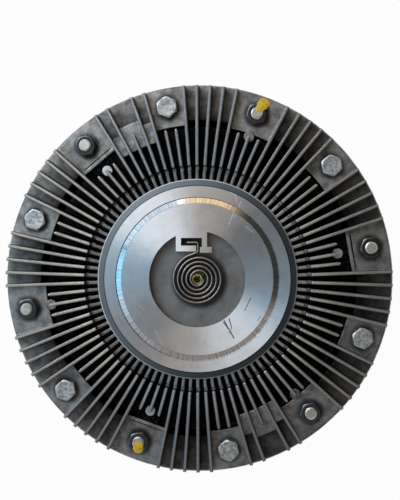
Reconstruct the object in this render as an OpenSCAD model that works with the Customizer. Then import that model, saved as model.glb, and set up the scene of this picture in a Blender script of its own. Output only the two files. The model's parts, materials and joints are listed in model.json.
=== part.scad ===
// Viscous fan clutch with a finned front cover and a bimetal control coil.
// Z is the axis of rotation, and the finned front faces up.
// The origin is the centre of the mounting face of the input flange.
// Angles around the axis run clockwise from +Y, as seen from the front.

/* [Castings] */
// Outer diameter of the rear housing and the front cover
rim_d = 260; // [230:1:290]
// Distance of the circle of bolts and studs from the rim
bolt_inset = 13.5; // [11:0.25:15]
// Width of the bolted rim around the working chamber
rim_w = 27.5; // [26:0.5:31]
// Height of the joint between the castings above the flange face
joint_z = 72; // [70:0.5:84]
// Thickness of the front cover's outer flange
cover_flange_t = 16; // [14:0.5:20]
// Thickness of the rear housing's outer flange
housing_flange_t = 14; // [13:0.5:18]
// Wall between the working chamber and the cooling fins
wall_t = 5; // [4:0.25:6]

/* [Front fins] */
// Height of the fins above the outer flange
fin_rise = 10; // [7:0.5:14]
// Thickness of a fin at its top
fin_top_t = 2; // [1.6:0.1:2.4]
// Thickness of a fin at its root
fin_root_t = 2.9; // [2.5:0.1:3.4]
// How far the outer end of a fin leans in over its height
fin_lean = 0.5; // [0.25:0.25:4]
// Width of the turned groove across all fins
fin_groove_w = 2.8; // [2:0.1:4]
// Mean diameter of that groove
fin_groove_d = 148; // [144:1:160]
// Depth of that groove
fin_groove_depth = 7; // [3:0.5:9]

/* [Pads] */
// Height of the fastener pads above the outer flange
pad_rise = 1; // [0.5:0.25:3]
// Length of the pads inside the circle of bolts
pad_depth = 14.5; // [12.5:0.25:16]
// Diameter of the round ejector bosses
ejector_d = 7; // [5:0.25:8]
// Thickness of the cross ribs behind three of the pads
rib_t = 2.3; // [1.5:0.1:3]
// Radial length of the two groups of balance blocks
balance_len = 14; // [8:0.5:15]

/* [Centre boss] */
// Diameter of the machined boss in the middle of the cover
boss_d = 132; // [116:0.5:148]
// Height of the boss above the fins
boss_rise = 5; // [4.5:0.25:8]
// Width of the sloped rim around the face of the boss
boss_rim_w = 4.8; // [2:0.1:6]
// Drop of that sloped rim at its outer edge
boss_rim_drop = 2; // [1:0.1:3]
// Outer diameter of the polished ring turned into the boss
ring_d = 108; // [102:0.5:112]
// Width of the polished ring
ring_w = 4; // [2:0.25:6]
// Depth of the polished ring at its outer edge
ring_depth = 0.9; // [0.4:0.1:2]
// Diameter of the coil recess
recess_d = 63.4; // [60:0.2:68]
// Depth of the coil recess
recess_depth = 9; // [8:0.25:11]

/* [Bimetal coil] */
// Thickness of the bimetal strip
strip_t = 1; // [0.6:0.05:1.1]
// Width of the strip along the axis
strip_w = 6.5; // [4:0.25:6.75]
// Distance between the turns
coil_pitch = 2.8; // [2.4:0.05:3.1]
// Mean radius of the innermost half turn
coil_inner_r = 4.3; // [4.2:0.05:4.5]

/* [Valve] */
// Diameter of the valve shaft
valve_d = 6.5; // [5.5:0.1:6.8]
// Distance of the valve ports from the wall of the reservoir
port_inset = 10.5; // [8.5:0.25:13]
// Diameter of the valve port
port_d = 9; // [6:0.5:11]
// Thickness of the valve arm
arm_t = 0.8; // [0.5:0.05:1.2]

/* [Rotor] */
// Thickness of the rotor's web
rotor_t = 6; // [5:0.5:8]
// Height of the labyrinth lands
land_h = 5; // [4:0.25:6]
// Thickness of a labyrinth land
land_t = 2; // [1.6:0.05:2.1]
// Distance between the lands of one piece
land_pitch = 5; // [4.8:0.05:5.4]
// Axial gap between the rotor and the castings
run_gap = 0.5; // [0.3:0.05:0.8]
// Diameter of the oil holes through the rotor
oil_hole_d = 8; // [5:0.5:10]

/* [Bearing] */
// Bore of the bearing
bearing_bore_d = 35; // [34:0.5:36]
// Outer diameter of the bearing
bearing_od = 72; // [68:0.5:78]
// Width of the bearing
bearing_w = 27; // [27:0.5:30]
// Ball diameter
ball_d = 10; // [9:0.25:10]
// Balls in each of the two rows
balls_per_row = 12; // [8:1:13]

/* [Input shaft] */
// Diameter of the input flange
flange_d = 130; // [116:1:144]
// Thickness of the input flange
flange_t = 10; // [9:0.5:14]
// Distance of the flange's bolt circle from its edge
flange_hole_inset = 11; // [9:0.5:14]
// Diameter of the flange's bolt holes
flange_hole_d = 10.5; // [8.5:0.25:12]
// Diameter of the pilot bore
pilot_d = 40; // [30:0.5:42]
// Depth of the pilot bore
pilot_depth = 6; // [4:0.5:7]

/* [Fasteners] */
// Thread diameter of the cover bolts and fan studs
thread_d = 8; // [7:0.25:8.5]
// Shank diameter of the cover bolts and studs, at the pitch of their thread
bolt_shank_d = 7.2; // [6.5:0.1:7.5]
// Width across the flats of the bolt heads and nuts
hex_af = 13; // [12.5:0.25:14]
// Height of the bolt heads
head_h = 5.3; // [4:0.1:7]
// Height of the stud nuts
nut_h = 6.5; // [5:0.1:8]
// Length of the studs behind the fan seat
stud_reach = 22; // [12:1:26]
// Length of the studs in front of their nuts
stud_tip = 2.5; // [2:0.25:6]

/* [Hidden] */
$fn = 120;

// Clearances
seat_gap = 0.02;
fit_gap = 0.05;
ball_gap = 0.1;
lip_gap = 0.1;
hole_gap = 0.5;
part_gap = 0.3;
eps = 0.5;

// Layout of the fins and fasteners
sectors = 6;
sector_deg = 360 / sectors;
fins_per_sector = 15;
fin_deg = sector_deg / fins_per_sector;
stud_deg = 20;
bolt_deg = 50;
stud_short = [4, 5, 6];
bolt_short = [12, 13];
stud_pad_fins = 4;
bolt_pad_fins = 3;
balance_fins = [39, 84];

// Radii
rim_r = rim_d / 2;
bolt_circle_d = rim_d - 2 * bolt_inset;
bolt_r = bolt_circle_d / 2;
chamber_d = rim_d - 2 * rim_w;
chamber_r = chamber_d / 2;
pad_inner_d = bolt_circle_d - 2 * pad_depth;
pad_inner_r = pad_inner_d / 2;
boss_r = boss_d / 2;
recess_r = recess_d / 2;
thread_r = thread_d / 2;
valve_r = valve_d / 2;
groove_mid_r = fin_groove_d / 2;

// Heights of the front cover, from the joint up
chamber_top_z = joint_z + land_h + run_gap;
floor_z = chamber_top_z + wall_t;
cover_rim_z = joint_z + cover_flange_t;
pad_z = cover_rim_z + pad_rise;
fin_top_z = cover_rim_z + fin_rise;
face_z = fin_top_z + boss_rise;
recess_floor_z = face_z - recess_depth;
fin_stub_drop = 1.5;
fin_stub_z = fin_top_z - fin_stub_drop;
face_r = boss_r - boss_rim_w;
face_step = 0.35;
boss_edge_r = 0.6;
ring_r = ring_d / 2;
edge_ledge = 0.5;
edge_chamfer = 0.8;
pad_rim_r = rim_r - edge_chamfer - edge_ledge;
fin_rim_r = pad_rim_r + edge_ledge / 2;
ramp_w = 4;

// Details of the pads and balance blocks
fin_pad_gap = 1.5;
pad_draft = 1;
rib_over = 2.5;
rib_slot_w = 0.9;
rib_slot_depth = 2;
rib_chord = 2 * pad_inner_r * tan(stud_pad_fins * fin_deg / 2);
rib_slot_len = rib_chord - 2 * fin_root_t;
block_w = 15.4;
block_len = 6.2;
block_drop = 1.5;
pit_d = 4.4;
pit_depth = 3;
small_boss_d = 3.2;
small_boss_pitch = 3.9;
small_boss_inset = 2.6;
small_boss_h = 0.3;
ejector_over = 0.5;
ejector_inset = 1;
rib_ejector_r = pad_inner_r - block_len - ejector_inset;
balance_drop = 5;
balance_extra = 4;
balance_fin_reach = 3;
fin_tip_len = 2.5;
fin_tip_w = 1;

// Reservoir under the boss, closed by the partition plate
plate_t = 1.5;
plate_drop = 1;
plate_z = chamber_top_z + plate_drop;
plate_top_z = plate_z + plate_t;
plate_margin = 1.5;
plate_r = boss_r - plate_margin;
seat_w = 7;
reservoir_r = plate_r - seat_w;
roof_t = 5;
reservoir_top_z = face_z - roof_t;
recess_wall = 4.5;
under_recess_z = recess_floor_z - recess_wall;
screw_r = plate_r - seat_w / 2;
screw_d = 4;
screw_head_d = 6.6;
screw_head_h = 2;
screw_len = 8;

// Valve below the coil recess
arm_z = plate_top_z + part_gap;
arm_top_z = arm_z + arm_t;
collar_h = 1.6;
collar_w = 2;
collar_r = valve_r + collar_w;
collar_top_z = arm_top_z + collar_h;
valve_boss_wall = 6;
valve_boss_r = valve_r + valve_boss_wall;
valve_boss_z = collar_top_z + part_gap;
arm_hub_w = 2;
arm_hub_r = collar_r + arm_hub_w;
arm_w = 8;
arm_cover = 2.5;
arm_pad_r = port_d / 2 + arm_cover;
port_r = reservoir_r - port_inset;
spigot_step = 0.75;
spigot_r = valve_r - spigot_step;
clip_t = 0.7;
clip_w = 2;
clip_depth = 0.4;
clip_z = recess_floor_z + part_gap;
coil_clear = 0.7;
coil_z = clip_z + clip_t + coil_clear;
coil_top_z = coil_z + strip_w;
valve_proud = 0.4;
valve_top_z = coil_top_z + valve_proud;
valve_chamfer = 0.6;
slot_w = strip_t + 2 * fit_gap;
slot_past = 1.2;
hook_len = 1.5;
hook_inset = 0.2;
valve_ring_d = 1;
valve_ring_z = (under_recess_z + recess_floor_z) / 2;
valve_groove_w = 1.4;

// Two-centre spiral of the coil, and its anchor, which is one with the boss face
coil_step = coil_pitch / 2;
coil_halves = 9;
tail_r = coil_inner_r + coil_halves * coil_step;
anchor_left = -13.9;
anchor_post_w = 3.4;
anchor_foot_gap = 1.4;
anchor_foot_y = tail_r + anchor_foot_gap;
anchor_foot_h = 3.8;
anchor_slot_x = -0.6;
anchor_slot_w = 2.6;
anchor_right_x = 3.3;
anchor_toe_drop = 0.9;
anchor_toe_y = anchor_foot_y - anchor_toe_drop;
anchor_toe_x = 9.9;
anchor_back = 4.6;
anchor_window_y = recess_r - anchor_back;
anchor_foot_top = anchor_foot_y + anchor_foot_h;
anchor_top_y = recess_r + eps;

// Outer end of the coil, led into the slot of the anchor
tail_x = anchor_slot_x + anchor_slot_w / 2;
tail_clear = 0.4;
tail_y = anchor_foot_y - tail_clear;
tail_reach = norm([tail_x - coil_step, tail_y]);
tail_deg = atan2(tail_y, tail_x - coil_step) + acos(tail_r / tail_reach);
tail_len = sqrt(tail_reach * tail_reach - tail_r * tail_r);
tail_tab_gap = 2;
tail_end_y = anchor_foot_top + tail_tab_gap;
tail_tab_len = 8;

// Rotor and labyrinth
rim_gap = 1.5;
rotor_r = chamber_r - rim_gap;
land_margin = 1.5;
land_room = rotor_r - land_t - plate_r - land_margin;
lands = floor((land_room + land_pitch / 2) / land_pitch);
rotor_rear_z = joint_z - rotor_t;
chamber_floor_z = rotor_rear_z - land_h - run_gap;
rotor_seat_step = 1.5;
rotor_seat_r = bearing_bore_d / 2 - rotor_seat_step;
rotor_hub_proud = 1;
rotor_hub_top = joint_z + rotor_hub_proud;
oil_holes = 6;
oil_hole_out = 14;

// Bearing and its seats
bearing_bore_r = bearing_bore_d / 2;
bearing_r = bearing_od / 2;
bearing_gap_z = 0.5;
bearing_top_z = chamber_floor_z - bearing_gap_z;
bearing_z = bearing_top_z - bearing_w;
bearing_mid_z = bearing_z + bearing_w / 2;
seal_t = 1;
seal_inset = 0.1;
seal_step = 1;
ball_seal_gap = 0.9;
row_gap = bearing_w - 2 * (ball_d + seal_t + seal_inset + ball_seal_gap);
ball_r = ball_d / 2;
pitch_r = (bearing_bore_r + bearing_r) / 2;
row_z = (ball_d + row_gap) / 2;
race_relief = 1.1;
shoulder = ball_r - race_relief;
inner_ring_r = pitch_r - shoulder;
outer_ring_r = pitch_r + shoulder;
cage_t = 3.4;
cage_gap = 0.3;
cage_over = 1;
pocket_gap = 0.2;
lip_w = 5;
lip_t = 4;
circlip_t = 2;
circlip_w = 4.6;
circlip_bite = 2;
rotor_clip_t = 1.5;
rotor_clip_w = 4;
rotor_clip_bite = 1;
clip_margin = 2;
clip_lug_r = 3;
clip_lug_out = 1;
clip_eye_r = 1;
clip_open_deg = 26;
circlip_r = bearing_r + circlip_bite - fit_gap;
circlip_lug_in = circlip_r - circlip_w - clip_lug_out - clip_lug_r;
rotor_hub_gap = 3.35;
rotor_hub_r = circlip_lug_in - rotor_hub_gap;
oil_hole_r = rotor_hub_r + oil_hole_out;

// Input shaft
shaft_collar_w = 5.5;
collar_shaft_r = bearing_bore_r + shaft_collar_w;
shaft_blend = 6;
shaft_end_z = rotor_hub_top + rotor_clip_t + clip_margin;
shaft_chamfer = 1;
flange_holes = 6;
flange_circle_d = flange_d - 2 * flange_hole_inset;
flange_chamfer = 1.5;

// Rear housing
hub_wall = 8;
hub_r = bearing_r + hub_wall;
hub_rear_z = bearing_z - lip_t;
hub_front_z = bearing_top_z + circlip_t + clip_margin;
housing_wall_z = chamber_floor_z - wall_t;
fan_seat_z = joint_z - housing_flange_t;
rear_fins = 45;
rear_fin_top_t = 2.2;
rear_fin_root_t = 3.2;
rear_fin_depth = 14;
rear_fin_low_z = housing_wall_z - rear_fin_depth;
rear_fin_over = 1;
rear_fin_outer_r = chamber_r + rear_fin_over;
rear_fin_low_w = 14;
rear_fin_low_r = hub_r + rear_fin_low_w;
rear_fin_end_h = 1;
seal_d = 2.5;
seal_groove_w = 3.2;
seal_inset_r = 4;
seal_r = chamber_r + seal_inset_r;

// Cover fasteners
bolt_end = 2;
bolt_shank_r = bolt_shank_d / 2;
hex_corner_r = hex_af / sqrt(3);
hex_drop = 0.9;
hex_inset = 0.3;
stud_end_z = fan_seat_z - stud_reach;
stud_chamfer = 0.7;
stud_top_z = pad_z + nut_h + stud_tip;

// Places its children at a clock angle around the axis.
module at_clock(deg) {
    rotate([0, 0, -deg])
        children();
}

// Sector of a revolved profile, centred on a clock angle.
module sector(deg, width_deg) {
    at_clock(deg)
        rotate([0, 0, 90 - width_deg / 2])
            rotate_extrude(angle = width_deg)
                children();
}

// Radial bar with a tapered section, along +Y.
module taper_bar(r0, r1, z0, t0, z1, t1) {
    translate([0, r1, 0])
        rotate([90, 0, 0])
            linear_extrude(r1 - r0)
                polygon([[-t0 / 2, z0], [t0 / 2, z0], [t1 / 2, z1], [-t1 / 2, z1]]);
}

// Ring with a rectangular section.
module ring(r0, r1, z0, z1) {
    rotate_extrude()
        translate([r0, z0])
            square([r1 - r0, z1 - z0]);
}

// Hex prism with the corners of one end turned to a cone, as on a bolt head.
module hex_prism(height) {
    intersection() {
        cylinder(r = hex_corner_r, h = height, $fn = 6);
        rotate_extrude()
            polygon([
                [0, 0], [hex_corner_r + eps, 0], [hex_corner_r + eps, height - hex_drop],
                [hex_af / 2 - hex_inset, height], [0, height]
            ]);
    }
}

// Stud at its thread diameter behind the seat, and at the pitch diameter in the castings and the nut.
module stud(z0, seat_z, z1) {
    c = stud_chamfer;
    rotate_extrude()
        polygon([
            [0, z0], [thread_r - c, z0], [thread_r, z0 + c], [thread_r, seat_z],
            [bolt_shank_r, seat_z + thread_r - bolt_shank_r],
            [bolt_shank_r, z1 - c], [bolt_shank_r - c, z1], [0, z1]
        ]);
}

// Open retaining ring with two pierced lugs. The lugs stand on its bore or on its outside.
module open_ring(r0, r1, z0, t, lugs_inside) {
    lug_r = lugs_inside ? r0 - clip_lug_out : r1 + clip_lug_out;
    translate([0, 0, z0])
        linear_extrude(t)
            difference() {
                union() {
                    circle(r1);
                    for (side = [-1, 1])
                        at_clock(side * clip_open_deg)
                            translate([0, lug_r])
                                circle(clip_lug_r);
                }
                difference() {
                    circle(r0);
                    if (lugs_inside)
                        for (side = [-1, 1])
                            at_clock(side * clip_open_deg)
                                translate([0, lug_r])
                                    circle(clip_lug_r);
                }
                polygon([
                    [0, 0],
                    2 * r1 * [-sin(clip_open_deg / 2), cos(clip_open_deg / 2)],
                    2 * r1 * [sin(clip_open_deg / 2), cos(clip_open_deg / 2)]
                ]);
                for (side = [-1, 1])
                    at_clock(side * clip_open_deg)
                        translate([0, lug_r])
                            circle(clip_eye_r);
            }
}

// Section of the labyrinth lands of a casting, which run between the rotor's lands.
module casting_lands(z0, z1) {
    for (i = [0 : lands - 1])
        translate([rotor_r - land_t / 2 - (i + 0.5) * land_pitch - land_t / 2, z0])
            square([land_t, z1 - z0]);
}

// Section of the labyrinth lands of the rotor.
module rotor_lands(z0, z1) {
    for (i = [0 : lands - 1])
        translate([rotor_r - land_t - i * land_pitch, z0])
            square([land_t, z1 - z0]);
}

// Forged input shaft with its mounting flange.
module input_shaft() {
    color("dimgray")
        difference() {
            rotate_extrude()
                polygon([
                    [0, 0], [flange_d / 2 - flange_chamfer, 0], [flange_d / 2, flange_chamfer],
                    [flange_d / 2, flange_t - flange_chamfer],
                    [flange_d / 2 - flange_chamfer, flange_t],
                    [collar_shaft_r + shaft_blend, flange_t],
                    [collar_shaft_r, flange_t + shaft_blend],
                    [collar_shaft_r, bearing_z],
                    [bearing_bore_r - seat_gap, bearing_z],
                    [bearing_bore_r - seat_gap, bearing_top_z],
                    [rotor_seat_r - seat_gap, bearing_top_z],
                    [rotor_seat_r - seat_gap, rotor_hub_top],
                    [rotor_seat_r - rotor_clip_bite, rotor_hub_top],
                    [rotor_seat_r - rotor_clip_bite, rotor_hub_top + rotor_clip_t + fit_gap],
                    [rotor_seat_r - seat_gap, rotor_hub_top + rotor_clip_t + fit_gap],
                    [rotor_seat_r - seat_gap, shaft_end_z - shaft_chamfer],
                    [rotor_seat_r - shaft_chamfer, shaft_end_z], [0, shaft_end_z]
                ]);
            translate([0, 0, -eps])
                cylinder(d = pilot_d, h = pilot_depth + eps);
            for (i = [0 : flange_holes - 1])
                at_clock(i * 360 / flange_holes)
                    translate([0, flange_circle_d / 2, -eps])
                        cylinder(d = flange_hole_d, h = flange_t + 2 * eps);
        }
}

// Ball groove section of both bearing rows.
module race_grooves() {
    for (side = [-1, 1])
        translate([pitch_r, bearing_mid_z + side * row_z])
            circle(ball_r + ball_gap);
}

// Inner ring of the double-row ball bearing.
module bearing_inner_ring() {
    color("silver")
        rotate_extrude()
            difference() {
                translate([bearing_bore_r, bearing_z])
                    square([inner_ring_r - bearing_bore_r, bearing_w]);
                race_grooves();
            }
}

// Outer ring of the bearing, stepped at both ends for the seals.
module bearing_outer_ring() {
    color("silver")
        rotate_extrude()
            difference() {
                translate([outer_ring_r, bearing_z])
                    square([bearing_r - outer_ring_r - seat_gap, bearing_w]);
                race_grooves();
                for (z = [bearing_z - eps, bearing_top_z - seal_t - seal_inset])
                    translate([outer_ring_r - eps, z])
                        square([seal_step + eps, seal_t + seal_inset + eps]);
            }
}

// Both rows of bearing balls.
module bearing_balls() {
    color("gainsboro")
        for (side = [-1, 1])
            for (i = [0 : balls_per_row - 1])
                at_clock(i * 360 / balls_per_row)
                    translate([0, pitch_r, bearing_mid_z + side * row_z])
                        sphere(r = ball_r, $fn = 48);
}

// Crown cage of one row, with its closed side towards the middle of the bearing.
module bearing_cage(side) {
    inner_z = bearing_mid_z + side * cage_gap;
    outer_z = bearing_mid_z + side * (row_z + cage_over);
    color("peru")
        difference() {
            ring(pitch_r - cage_t / 2, pitch_r + cage_t / 2, min(inner_z, outer_z), max(inner_z, outer_z));
            for (i = [0 : balls_per_row - 1])
                at_clock(i * 360 / balls_per_row)
                    translate([0, pitch_r, bearing_mid_z + side * row_z])
                        sphere(r = ball_r + pocket_gap, $fn = 48);
        }
}

// Rear cage of the bearing.
module bearing_cage_rear() {
    bearing_cage(-1);
}

// Front cage of the bearing.
module bearing_cage_front() {
    bearing_cage(1);
}

// Rubber seal washer of the bearing, seated in the step of the outer ring.
module bearing_seal(z0) {
    color("saddlebrown")
        ring(inner_ring_r + lip_gap, outer_ring_r + seal_step - seat_gap, z0, z0 + seal_t);
}

// Rear bearing seal.
module bearing_seal_rear() {
    bearing_seal(bearing_z + seal_inset);
}

// Front bearing seal.
module bearing_seal_front() {
    bearing_seal(bearing_top_z - seal_t - seal_inset);
}

// Internal retaining ring that holds the bearing in the housing hub.
module bearing_circlip() {
    color("darkslategray")
        open_ring(circlip_r - circlip_w, circlip_r, bearing_top_z, circlip_t, true);
}

// Rotor with labyrinth lands on both faces.
module rotor() {
    color("lightgray")
        difference() {
            rotate_extrude() {
                translate([rotor_seat_r, rotor_rear_z])
                    square([rotor_r - rotor_seat_r, rotor_t]);
                translate([rotor_seat_r, bearing_top_z])
                    square([rotor_hub_r - rotor_seat_r, rotor_hub_top - bearing_top_z]);
                rotor_lands(joint_z - eps, joint_z + land_h);
                rotor_lands(rotor_rear_z - land_h, rotor_rear_z + eps);
            }
            for (i = [0 : oil_holes - 1])
                at_clock(i * 360 / oil_holes)
                    translate([0, oil_hole_r, rotor_rear_z - eps])
                        cylinder(d = oil_hole_d, h = rotor_t + 2 * eps);
        }
}

// External retaining ring that holds the rotor on the shaft.
module rotor_circlip() {
    r0 = rotor_seat_r - rotor_clip_bite + fit_gap;
    color("darkslategray")
        open_ring(r0, r0 + rotor_clip_w, rotor_hub_top, rotor_clip_t, false);
}

// Revolved body of the rear housing: hub, chamber wall, labyrinth lands and outer flange.
module housing_body() {
    rotate_extrude()
        difference() {
            union() {
                translate([bearing_r + seat_gap, hub_rear_z])
                    square([hub_wall - seat_gap, hub_front_z - hub_rear_z]);
                translate([bearing_r - lip_w, hub_rear_z])
                    square([lip_w + eps, lip_t]);
                translate([hub_r - eps, housing_wall_z])
                    square([chamber_r - hub_r + 2 * eps, wall_t]);
                polygon([
                    [chamber_r, fan_seat_z], [rim_r - edge_chamfer, fan_seat_z],
                    [rim_r, fan_seat_z + edge_chamfer], [rim_r, joint_z - edge_chamfer],
                    [rim_r - edge_chamfer, joint_z], [chamber_r, joint_z]
                ]);
                translate([chamber_r, housing_wall_z])
                    square([wall_t, wall_t]);
                casting_lands(chamber_floor_z - eps, rotor_rear_z - run_gap);
            }
            translate([bearing_r - eps, bearing_top_z])
                square([circlip_bite + eps, circlip_t + fit_gap]);
            translate([seal_r - seal_groove_w / 2, joint_z - seal_d - seat_gap])
                square([seal_groove_w, seal_d + eps]);
        }
}

// Radial fins on the back of the rear housing.
module housing_fins() {
    inner_r = hub_r - hub_wall / 2;
    intersection() {
        for (i = [0 : rear_fins - 1])
            at_clock(i * 360 / rear_fins)
                taper_bar(inner_r, rear_fin_outer_r + eps, housing_wall_z + eps, rear_fin_root_t,
                    rear_fin_low_z - eps, rear_fin_top_t);
        rotate_extrude()
            polygon([
                [inner_r - eps, housing_wall_z + 2 * eps], [inner_r - eps, rear_fin_low_z],
                [rear_fin_low_r, rear_fin_low_z], [rear_fin_outer_r, housing_wall_z - rear_fin_end_h],
                [rear_fin_outer_r, housing_wall_z + 2 * eps]
            ]);
    }
}

// Hole in the housing's flange for a bolt or stud, countersunk at the fan seat.
module housing_hole() {
    hole_r = bolt_shank_r + fit_gap;
    mouth_r = thread_r + hole_gap;
    translate([0, bolt_r, fan_seat_z])
        rotate_extrude()
            polygon([
                [0, -eps], [mouth_r + eps, -eps], [hole_r, mouth_r - hole_r],
                [hole_r, housing_flange_t + eps], [0, housing_flange_t + eps]
            ]);
}

// Rear housing, cast in one piece with its fins and drilled for the bolts and studs.
module rear_housing() {
    color("slategray")
        difference() {
            union() {
                housing_body();
                housing_fins();
            }
            for (i = [0 : 2 * sectors - 1])
                at_clock(stud_deg + i * sector_deg / 2)
                    housing_hole();
        }
}

// Sealing ring in the joint between the castings.
module housing_seal() {
    color("black")
        rotate_extrude()
            translate([seal_r, joint_z - seal_d / 2 - seat_gap / 2])
                circle(d = seal_d, $fn = 48);
}

// Section of the boss: the turned face with its polished ring, a small step and a sloped rim.
module boss_section() {
    rim_z = face_z - boss_rim_drop;
    difference() {
        polygon([
            [0, chamber_top_z], [boss_r, chamber_top_z], [boss_r, rim_z - boss_edge_r],
            [boss_r - boss_edge_r, rim_z], [face_r, face_z - face_step], [face_r, face_z], [0, face_z]
        ]);
        polygon([
            [ring_r - ring_w, face_z], [ring_r, face_z - ring_depth],
            [ring_r, face_z + eps], [ring_r - ring_w, face_z + eps]
        ]);
    }
}

// Revolved body of the front cover: flange, chamber wall, boss, reservoir and lands.
module cover_body() {
    rotate_extrude() {
        difference() {
            union() {
                polygon([
                    [chamber_r, joint_z], [rim_r - edge_chamfer, joint_z],
                    [rim_r, joint_z + edge_chamfer], [rim_r, cover_rim_z - edge_chamfer],
                    [rim_r - edge_chamfer, cover_rim_z], [chamber_r, cover_rim_z]
                ]);
                translate([0, chamber_top_z])
                    square([chamber_r + eps, wall_t]);
                boss_section();
            }
            polygon([
                [chamber_r, floor_z], [chamber_r + ramp_w, cover_rim_z],
                [chamber_r + ramp_w, cover_rim_z + eps], [chamber_r - eps, cover_rim_z + eps],
                [chamber_r - eps, floor_z]
            ]);
            translate([0, chamber_top_z - eps])
                square([plate_r + seat_gap, plate_top_z - chamber_top_z + eps]);
            translate([recess_r + recess_wall, plate_top_z - eps])
                square([reservoir_r - recess_r - recess_wall, reservoir_top_z - plate_top_z + eps]);
            translate([valve_boss_r, plate_top_z - eps])
                square([recess_r + recess_wall - valve_boss_r + eps, under_recess_z - plate_top_z + eps]);
            translate([0, plate_top_z - eps])
                square([valve_boss_r + eps, valve_boss_z - plate_top_z + eps]);
        }
        casting_lands(joint_z + run_gap, chamber_top_z + eps);
    }
}

// True where a fin stops short of a fastener pad.
function is_short(i) =
    let (k = i % fins_per_sector)
        len(search(k, concat(stud_short, bolt_short))) > 0;

// True where a pad has a cross rib behind it.
function is_ribbed(i) = floor(i / fins_per_sector) % 2 == 1;

// Outer end of fin number i.
function fin_end(i) =
    len(search(i, balance_fins)) > 0 ? pad_inner_r + balance_fin_reach
    : !is_short(i) ? rim_r + fin_tip_len
    : is_ribbed(i) && len(search(i % fins_per_sector, stud_short)) > 0 ? rib_ejector_r
    : pad_inner_r - fin_pad_gap;

// One fin of the cover, with a blunt tip at its outer end.
module cover_fin(r0, r1, z0) {
    half_w = fin_root_t / 2 + fit_gap;
    intersection() {
        taper_bar(r0, r1 + eps, z0, fin_root_t, fin_top_z + eps, fin_top_t);
        translate([0, 0, z0 - eps])
            linear_extrude(fin_top_z - z0 + 3 * eps)
                polygon([
                    [-half_w, r0 - eps], [half_w, r0 - eps], [half_w, r1 - fin_tip_len],
                    [fin_tip_w / 2, r1], [-fin_tip_w / 2, r1], [-half_w, r1 - fin_tip_len]
                ]);
    }
}

// All fins of the cover, trimmed by one revolved envelope with the turned groove.
module cover_fins() {
    root_z = floor_z - eps;
    inner_r = face_r;
    groove_in = groove_mid_r - fin_groove_w / 2;
    groove_out = groove_mid_r + fin_groove_w / 2;
    groove_z = fin_top_z - fin_groove_depth;
    intersection() {
        for (i = [0 : sectors * fins_per_sector - 1])
            at_clock(i * fin_deg)
                cover_fin(inner_r, fin_end(i), root_z);
        rotate_extrude()
            polygon([
                [inner_r - eps, root_z - eps], [fin_rim_r, root_z - eps],
                [fin_rim_r, cover_rim_z], [fin_rim_r - fin_lean, fin_top_z],
                [groove_out, fin_top_z], [groove_out, groove_z],
                [groove_in, groove_z], [groove_in, fin_stub_z], [inner_r - eps, fin_stub_z]
            ]);
    }
}

// Raised pad between two full fins, under a bolt head or a nut.
module pad(deg, width_deg) {
    sector(deg, width_deg)
        polygon([
            [pad_inner_r, floor_z - eps], [pad_rim_r, floor_z - eps],
            [pad_rim_r, pad_z], [pad_inner_r + pad_draft, pad_z]
        ]);
}

// Cross rib behind a stud pad, with its pitted block, small bosses and ejector boss.
module rib_block(deg) {
    root_z = floor_z - eps;
    block_z = pad_z - block_drop;
    boss_y = pad_inner_r - small_boss_inset;
    at_clock(deg) {
        translate([-rib_chord / 2, pad_inner_r, root_z])
            cube([rib_chord, rib_t, pad_z + rib_over - root_z]);
        difference() {
            translate([-block_w / 2, pad_inner_r - block_len, root_z])
                cube([block_w, block_len + eps, block_z - root_z]);
            for (side = [-1, 1])
                translate([side * small_boss_pitch, boss_y, block_z - pit_depth])
                    cylinder(d = pit_d, h = pit_depth + eps);
        }
        for (side = [-1, 1])
            translate([side * small_boss_pitch, boss_y, root_z])
                cylinder(d = small_boss_d, h = block_z + small_boss_h - root_z);
        translate([0, rib_ejector_r, root_z])
            cylinder(d = ejector_d, h = pad_z + ejector_over - root_z);
    }
}

// Slot between a cross rib and its pad.
module rib_slot(deg) {
    at_clock(deg)
        translate([-rib_slot_len / 2, pad_inner_r + rib_t, pad_z - rib_slot_depth])
            cube([rib_slot_len, rib_slot_w, rib_slot_depth + eps]);
}

// Round ejector boss at the inner edge of a plain stud pad.
module ejector_boss(deg) {
    at_clock(deg)
        translate([0, pad_inner_r - ejector_inset, floor_z - eps])
            cylinder(d = ejector_d, h = pad_z + ejector_over - floor_z + eps);
}

// Group of balance blocks that fill the channels beside a short fin.
module balance_blocks(deg) {
    block_z = fin_top_z - balance_drop;
    inner = pad_inner_r - balance_len / 2;
    for (side = [-1.5, 0, 1.5])
        sector(deg + side * fin_deg, side == 0 ? 2 * fin_deg : fin_deg)
            translate([inner, floor_z - eps])
                square([balance_len + (side == 0 ? balance_extra : 0), block_z - floor_z + eps]);
}

// Plan of the coil anchor: two hooked posts with a slot between their feet.
module anchor_plan() {
    difference() {
        union() {
            translate([anchor_left, anchor_foot_y])
                square([anchor_slot_x - anchor_left, anchor_top_y - anchor_foot_y]);
            translate([anchor_left, anchor_window_y])
                square([anchor_right_x + anchor_post_w - anchor_left, anchor_top_y - anchor_window_y]);
            translate([anchor_right_x, anchor_toe_y + eps])
                square([anchor_post_w, anchor_top_y - anchor_toe_y - eps]);
            translate([anchor_slot_x + anchor_slot_w, anchor_toe_y])
                square([anchor_toe_x - anchor_slot_x - anchor_slot_w, anchor_foot_h]);
        }
        translate([anchor_left + anchor_post_w, anchor_foot_top])
            square([anchor_right_x - anchor_left - anchor_post_w, anchor_window_y - anchor_foot_top]);
    }
}

// Coil recess, cut around the anchor.
module coil_recess() {
    translate([0, 0, recess_floor_z])
        linear_extrude(recess_depth + eps)
            difference() {
                circle(recess_r);
                anchor_plan();
            }
}

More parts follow.
